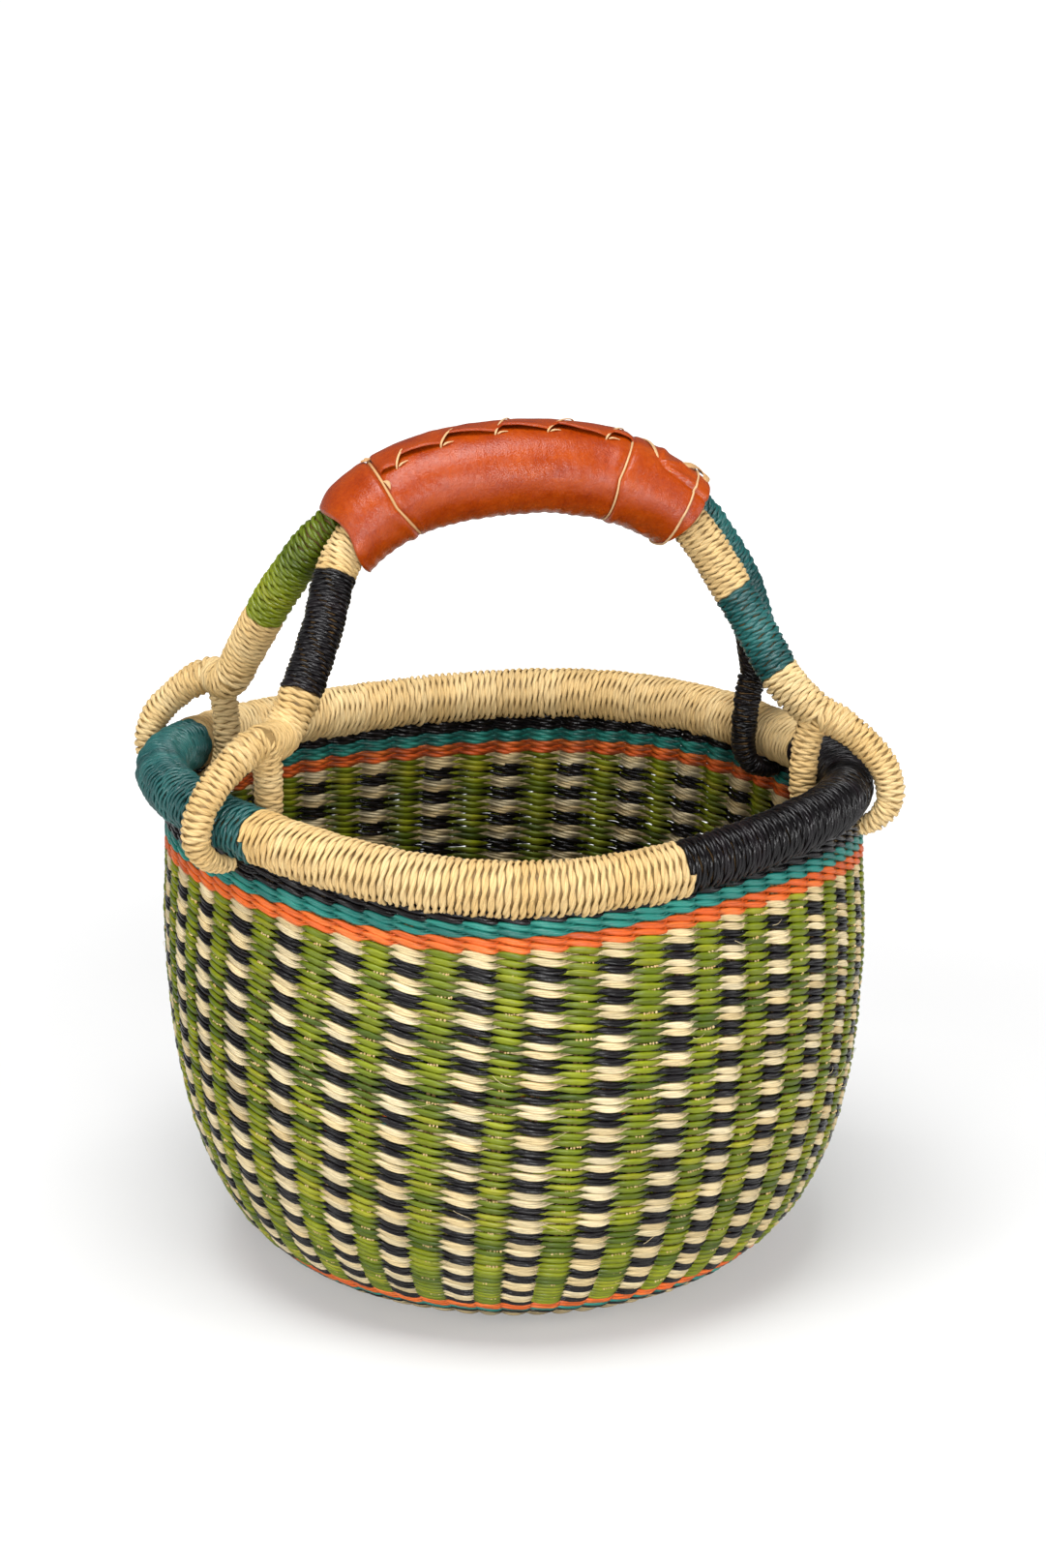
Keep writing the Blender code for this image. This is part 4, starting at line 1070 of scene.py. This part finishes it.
def sewGrip():
    turn = np.linspace(0.0, fullTurn, grip["around"], endpoint=False)[None, :]
    step = np.linspace(0.0, 1.0, grip["rows"])[:, None]
    lower = smoothStep((0.35 - np.sin(turn)) / 1.2) * smoothStep((np.cos(turn) + 0.4) / 0.8)
    first = grip["lowerHang"] * lower + 0.004 * np.sin(3.0 * turn) + grip["crestPull"] * crestAt(turn)
    last = 1.0 + 0.004 * np.sin(2.0 * turn + 1.0)
    share = first + (last - first) * step
    lift = leatherLift(share, turn)
    edge = np.minimum(share - first, last - share) * gripLength
    small = grip["edgeRound"]
    lift = lift - small * (1.0 - np.sqrt(1.0 - np.clip(1.0 - edge / small, 0.0, 1.0) ** 2))
    outside = onGrip(share, turn, lift)
    inside = onGrip(share[::-12], turn, lift[::-12] - grip["thick"])
    laySkin("leatherGrip", np.concatenate([outside, inside, outside[:1]]),
            gripLength * 1000.0, gripAround * 1000.0)


def lapFlap():
    share = np.linspace(*grip["flapEnds"], 300)[:, None]
    start = edgeTurn(share)
    across = np.linspace(0.0, 1.0, 34)[None, :] ** 1.6
    turn = start + (math.radians(grip["flapBack"]) - start) * across
    off = (turn - start) * grip["wide"] / 2.0
    tall = 0.0010 + 0.0010 * flapPuff(share) * hill(off, 0.0035)
    tall = tall + hillocks(share * gripLength, off + 0.05, 0.004, 0.00018)
    fade = smoothStep((1.0 - across) / 0.5) * smoothStep((share - 0.162) / 0.015)
    fade = fade * smoothStep((0.800 - share) / 0.02)
    top = tall * (0.15 + 0.85 * fade) + 0.0004
    rolled = np.sqrt(np.clip(1.0 - np.clip(1.0 - off / 0.0009, 0.0, 1.0) ** 2, 0.0, 1.0))
    low = np.maximum(top - grip["flapThick"], -0.0004)
    middle = (top + low) / 2.0
    over = onGrip(share, turn, middle + (top - middle) * rolled)
    under = onGrip(share, turn, middle - (middle - low) * rolled - 0.0012 * (1.0 - fade))
    sheet = np.concatenate([over[:, ::-1], under[:, 1:]], axis=1)
    ends = [sheet.mean(axis=1, keepdims=True).repeat(sheet.shape[1], axis=1)[k] for k in (0, -1)]
    laySkin("gripOverlap", np.concatenate([ends[0][None], sheet, ends[1][None]]),
            gripLength * 650.0, gripAround * 600.0)


# threads and thong: flat strips over the leather, as share along, turn in degrees and lift,
# then half widths, half thickness and tone

strips = {
    "leftThread": (
        (((0.158, 97.0, 0.0012), (0.150, 93.0, 0.0018), (0.159, 90.0, 0.0014), (0.165, 94.0, 0.0010),
          (0.158, 98.0, 0.0016)), (0.0005, 0.0007, 0.0005), 0.0004, 0.45),
        (((0.163, 43.0, 0.0004), (0.170, 38.0, 0.0007), (0.168, 29.0, 0.0004)),
         (0.0002, 0.0009, 0.0001), 0.0003, 0.6)),
    "thongEnds": (
        (((0.822, 104.0, 0.0008), (0.832, 92.0, 0.0012), (0.842, 70.0, 0.0012), (0.853, 53.0, 0.0004)),
         (0.0006, 0.0008, 0.0006, 0.0003), 0.00032, 0.75),
        (((0.884, 44.0, 0.0004), (0.905, 58.0, 0.0016), (0.935, 71.0, 0.0021), (0.962, 84.0, 0.0021),
          (0.985, 92.0, 0.0012)), (0.0003, 0.0008, 0.0013, 0.0021, 0.0020), 0.00034, 0.55),
        (((0.985, 94.0, 0.0014), (0.988, 76.0, 0.0016), (0.980, 60.0, 0.0008), (0.972, 52.0, 0.0000)),
         (0.0018, 0.0015, 0.0010, 0.0003), 0.00034, 0.5)),
}
# name, the solid it stands for, tone and half thickness
threads = (("leftThread", "left_thread", 0.45, 0.00058), ("rightThread", "right_thread", 0.8, 0.00042),
           ("endThread", "right_thread", 0.8, 0.00042))


def strip(skein, marks, wide, deep, tone):
    fine = smoothRoute(np.array(marks) * [1.0, 0.01, 1000.0], 60)
    share, turn, lift = fine[:, 0], np.radians(fine[:, 1] * 100.0), fine[:, 2] / 1000.0
    route = onGrip(share, turn, lift)
    outward = unit(onGrip(share, turn, lift + 0.001) - route)
    outward, aside = squareTo(directions(route), outward)
    spread = np.interp(np.linspace(0.0, 1.0, len(route)), np.linspace(0.0, 1.0, len(wide)), wide)
    addStrand(skein, route, aside, outward, spread, deep, tone, closed=False, sides=8)


def tieThreads():
    turn = np.linspace(0.0, fullTurn, 160, endpoint=False)
    for name, cadNode, tone, half in threads:
        skein = []
        share = threadShare(name, turn)
        route = onGrip(share, turn, leatherLift(share, turn) + 0.00035)
        side, up = squareTo(directions(route, closed=True), [1.0, 0.0, 0.0])
        thick = half + wander(160, 8, 0.00008)
        addStrand(skein, route, side, up, thick, thick, tone)
        for each in strips.get(name, ()):
            strip(skein, *each)
        layStraw(name, skein, "thongFibre", "binding_thread", cadNode)


def sewThong():
    skein = []
    for first, last, top in grip["stitches"]:
        start = math.degrees(float(edgeTurn(np.array(first))))
        marks = [(first - 0.002, start - 3.0, -0.0003), (first + 0.001, start, 0.0011),
                 (first * 0.65 + last * 0.35, start * 0.65 + top * 0.35, 0.0018),
                 (first * 0.3 + last * 0.7, start * 0.3 + top * 0.7, 0.0019), (last, top, 0.0015),
                 (last + 0.006, top + 6.0, -0.0006)]
        wide = (0.0003, 0.0004, 0.00045, 0.00045, 0.0004, 0.0002)
        strip(skein, marks, wide, 0.00022, chance.uniform(0.5, 0.9))
        tail = [(first + 0.004, start - 2.0, 0.0002), (first + 0.014, start - 0.5, 0.0007),
                (first + 0.030, start + 0.5, 0.0004)]
        strip(skein, tail, (0.0002, 0.0005, 0.0001), 0.00020, 0.7)
    for each in strips["thongEnds"]:
        strip(skein, *each)
    layStraw("seamThong", skein, "thongFibre", "thong", "seam_thong")


sewGrip()
lapFlap()
tieThreads()
sewThong()
report("the grip is sewn")


# floor, light and camera

studio = {
    "lens": 85.0, "sensor": 36.0, "turn": -12.0, "down": 16.336, "distance": 1.4043,
    "target": (0.00319, 0.0, 0.18425), "clip": (0.05, 20.0),
    # the world's strength for soft light and for gloss
    "surround": 0.42, "gloss": 0.14,
    # name, power, size and place
    "lamps": (("keyLamp", 35.0, 1.1, (-0.24, -0.50, 2.00)), ("fillLamp", 21.0, 0.5, (-0.12, -1.90, 0.55)),
              ("leftLamp", 8.0, 0.6, (-1.55, -0.75, 0.60)), ("rightLamp", 8.0, 0.6, (1.55, -0.85, 0.60))),
    "aim": (0.0, 0.0, 0.12),
    # the floor glows for the camera, more with distance
    "floorHalf": 24.0, "floorTone": 0.62, "glow": (0.23, 0.80), "glowSpan": (0.30, 1.00),
}
white = (1.0, 1.0, 1.0, 1.0)


def placeThing(name, data, place, rotation):
    thing = bpy.data.objects.new(name, data)
    thing.location = place
    thing.rotation_euler = rotation
    bpy.context.scene.collection.objects.link(thing)
    return thing


def setCamera():
    turn, down = math.radians(studio["turn"]), math.radians(studio["down"])
    x, y, z = studio["target"]
    target = np.array([x * math.cos(turn) - y * math.sin(turn), x * math.sin(turn) + y * math.cos(turn), z])
    forward = np.array([-math.sin(turn) * math.cos(down), math.cos(turn) * math.cos(down), -math.sin(down)])
    data = bpy.data.cameras.new("camera")
    data.lens = studio["lens"]
    data.sensor_width = studio["sensor"]
    data.clip_start, data.clip_end = studio["clip"]
    place = target - forward * studio["distance"]
    bpy.context.scene.camera = placeThing("camera", data, place, (math.pi / 2.0 - down, 0.0, turn))
    bpy.context.scene.view_settings.view_transform = "Standard"


def setLight():
    world = bpy.data.worlds.new("studio")
    bpy.context.scene.world = world
    world.use_nodes = True
    tree = world.node_tree
    dim = remap(tree, node(tree, "LightPath", "Is Glossy Ray"), studio["surround"], studio["gloss"])
    seen = {0: dim, 1: node(tree, "LightPath", "Is Camera Ray")}
    strength = node(tree, "Math", 0, seen, operation="MAXIMUM")
    plug(tree, tree.nodes["Background"], {"Color": white, "Strength": strength})
    for name, power, size, place in studio["lamps"]:
        light = bpy.data.lights.new(name, "AREA")
        light.energy = power
        light.size = size
        way = np.array(place) - np.array(studio["aim"])
        lean = math.atan2(math.hypot(way[0], way[1]), way[2])
        placeThing(name, light, place, (lean, 0.0, math.atan2(way[1], way[0]) + math.pi / 2.0))


def setFloor():
    half = studio["floorHalf"]
    mesh = bpy.data.meshes.new("floor")
    corners = [(-half, -half, 0.0), (half, -half, 0.0), (half, half, 0.0), (-half, half, 0.0)]
    mesh.from_pydata(corners, [], [(0, 1, 2, 3)])
    floor = placeThing("floor", mesh, (0.0, 0.0, 0.0), (0.0, 0.0, 0.0))
    material, tree, shader = newFinish("paleFloor")
    away = node(tree, "VectorMath", "Value", {0: node(tree, "TexCoord", "Object")}, operation="LENGTH")
    fade = remap(tree, away, *studio["glow"], *studio["glowSpan"], interpolation_type="SMOOTHSTEP")
    plug(tree, shader, {
        "Base Color": (studio["floorTone"], studio["floorTone"], studio["floorTone"], 1.0),
        "Roughness": 0.9, "Emission Color": white,
        "Emission Strength": times(tree, node(tree, "LightPath", "Is Camera Ray"), fade)})
    mesh.materials.append(material)


setCamera()
setLight()
setFloor()
report("the studio is set")
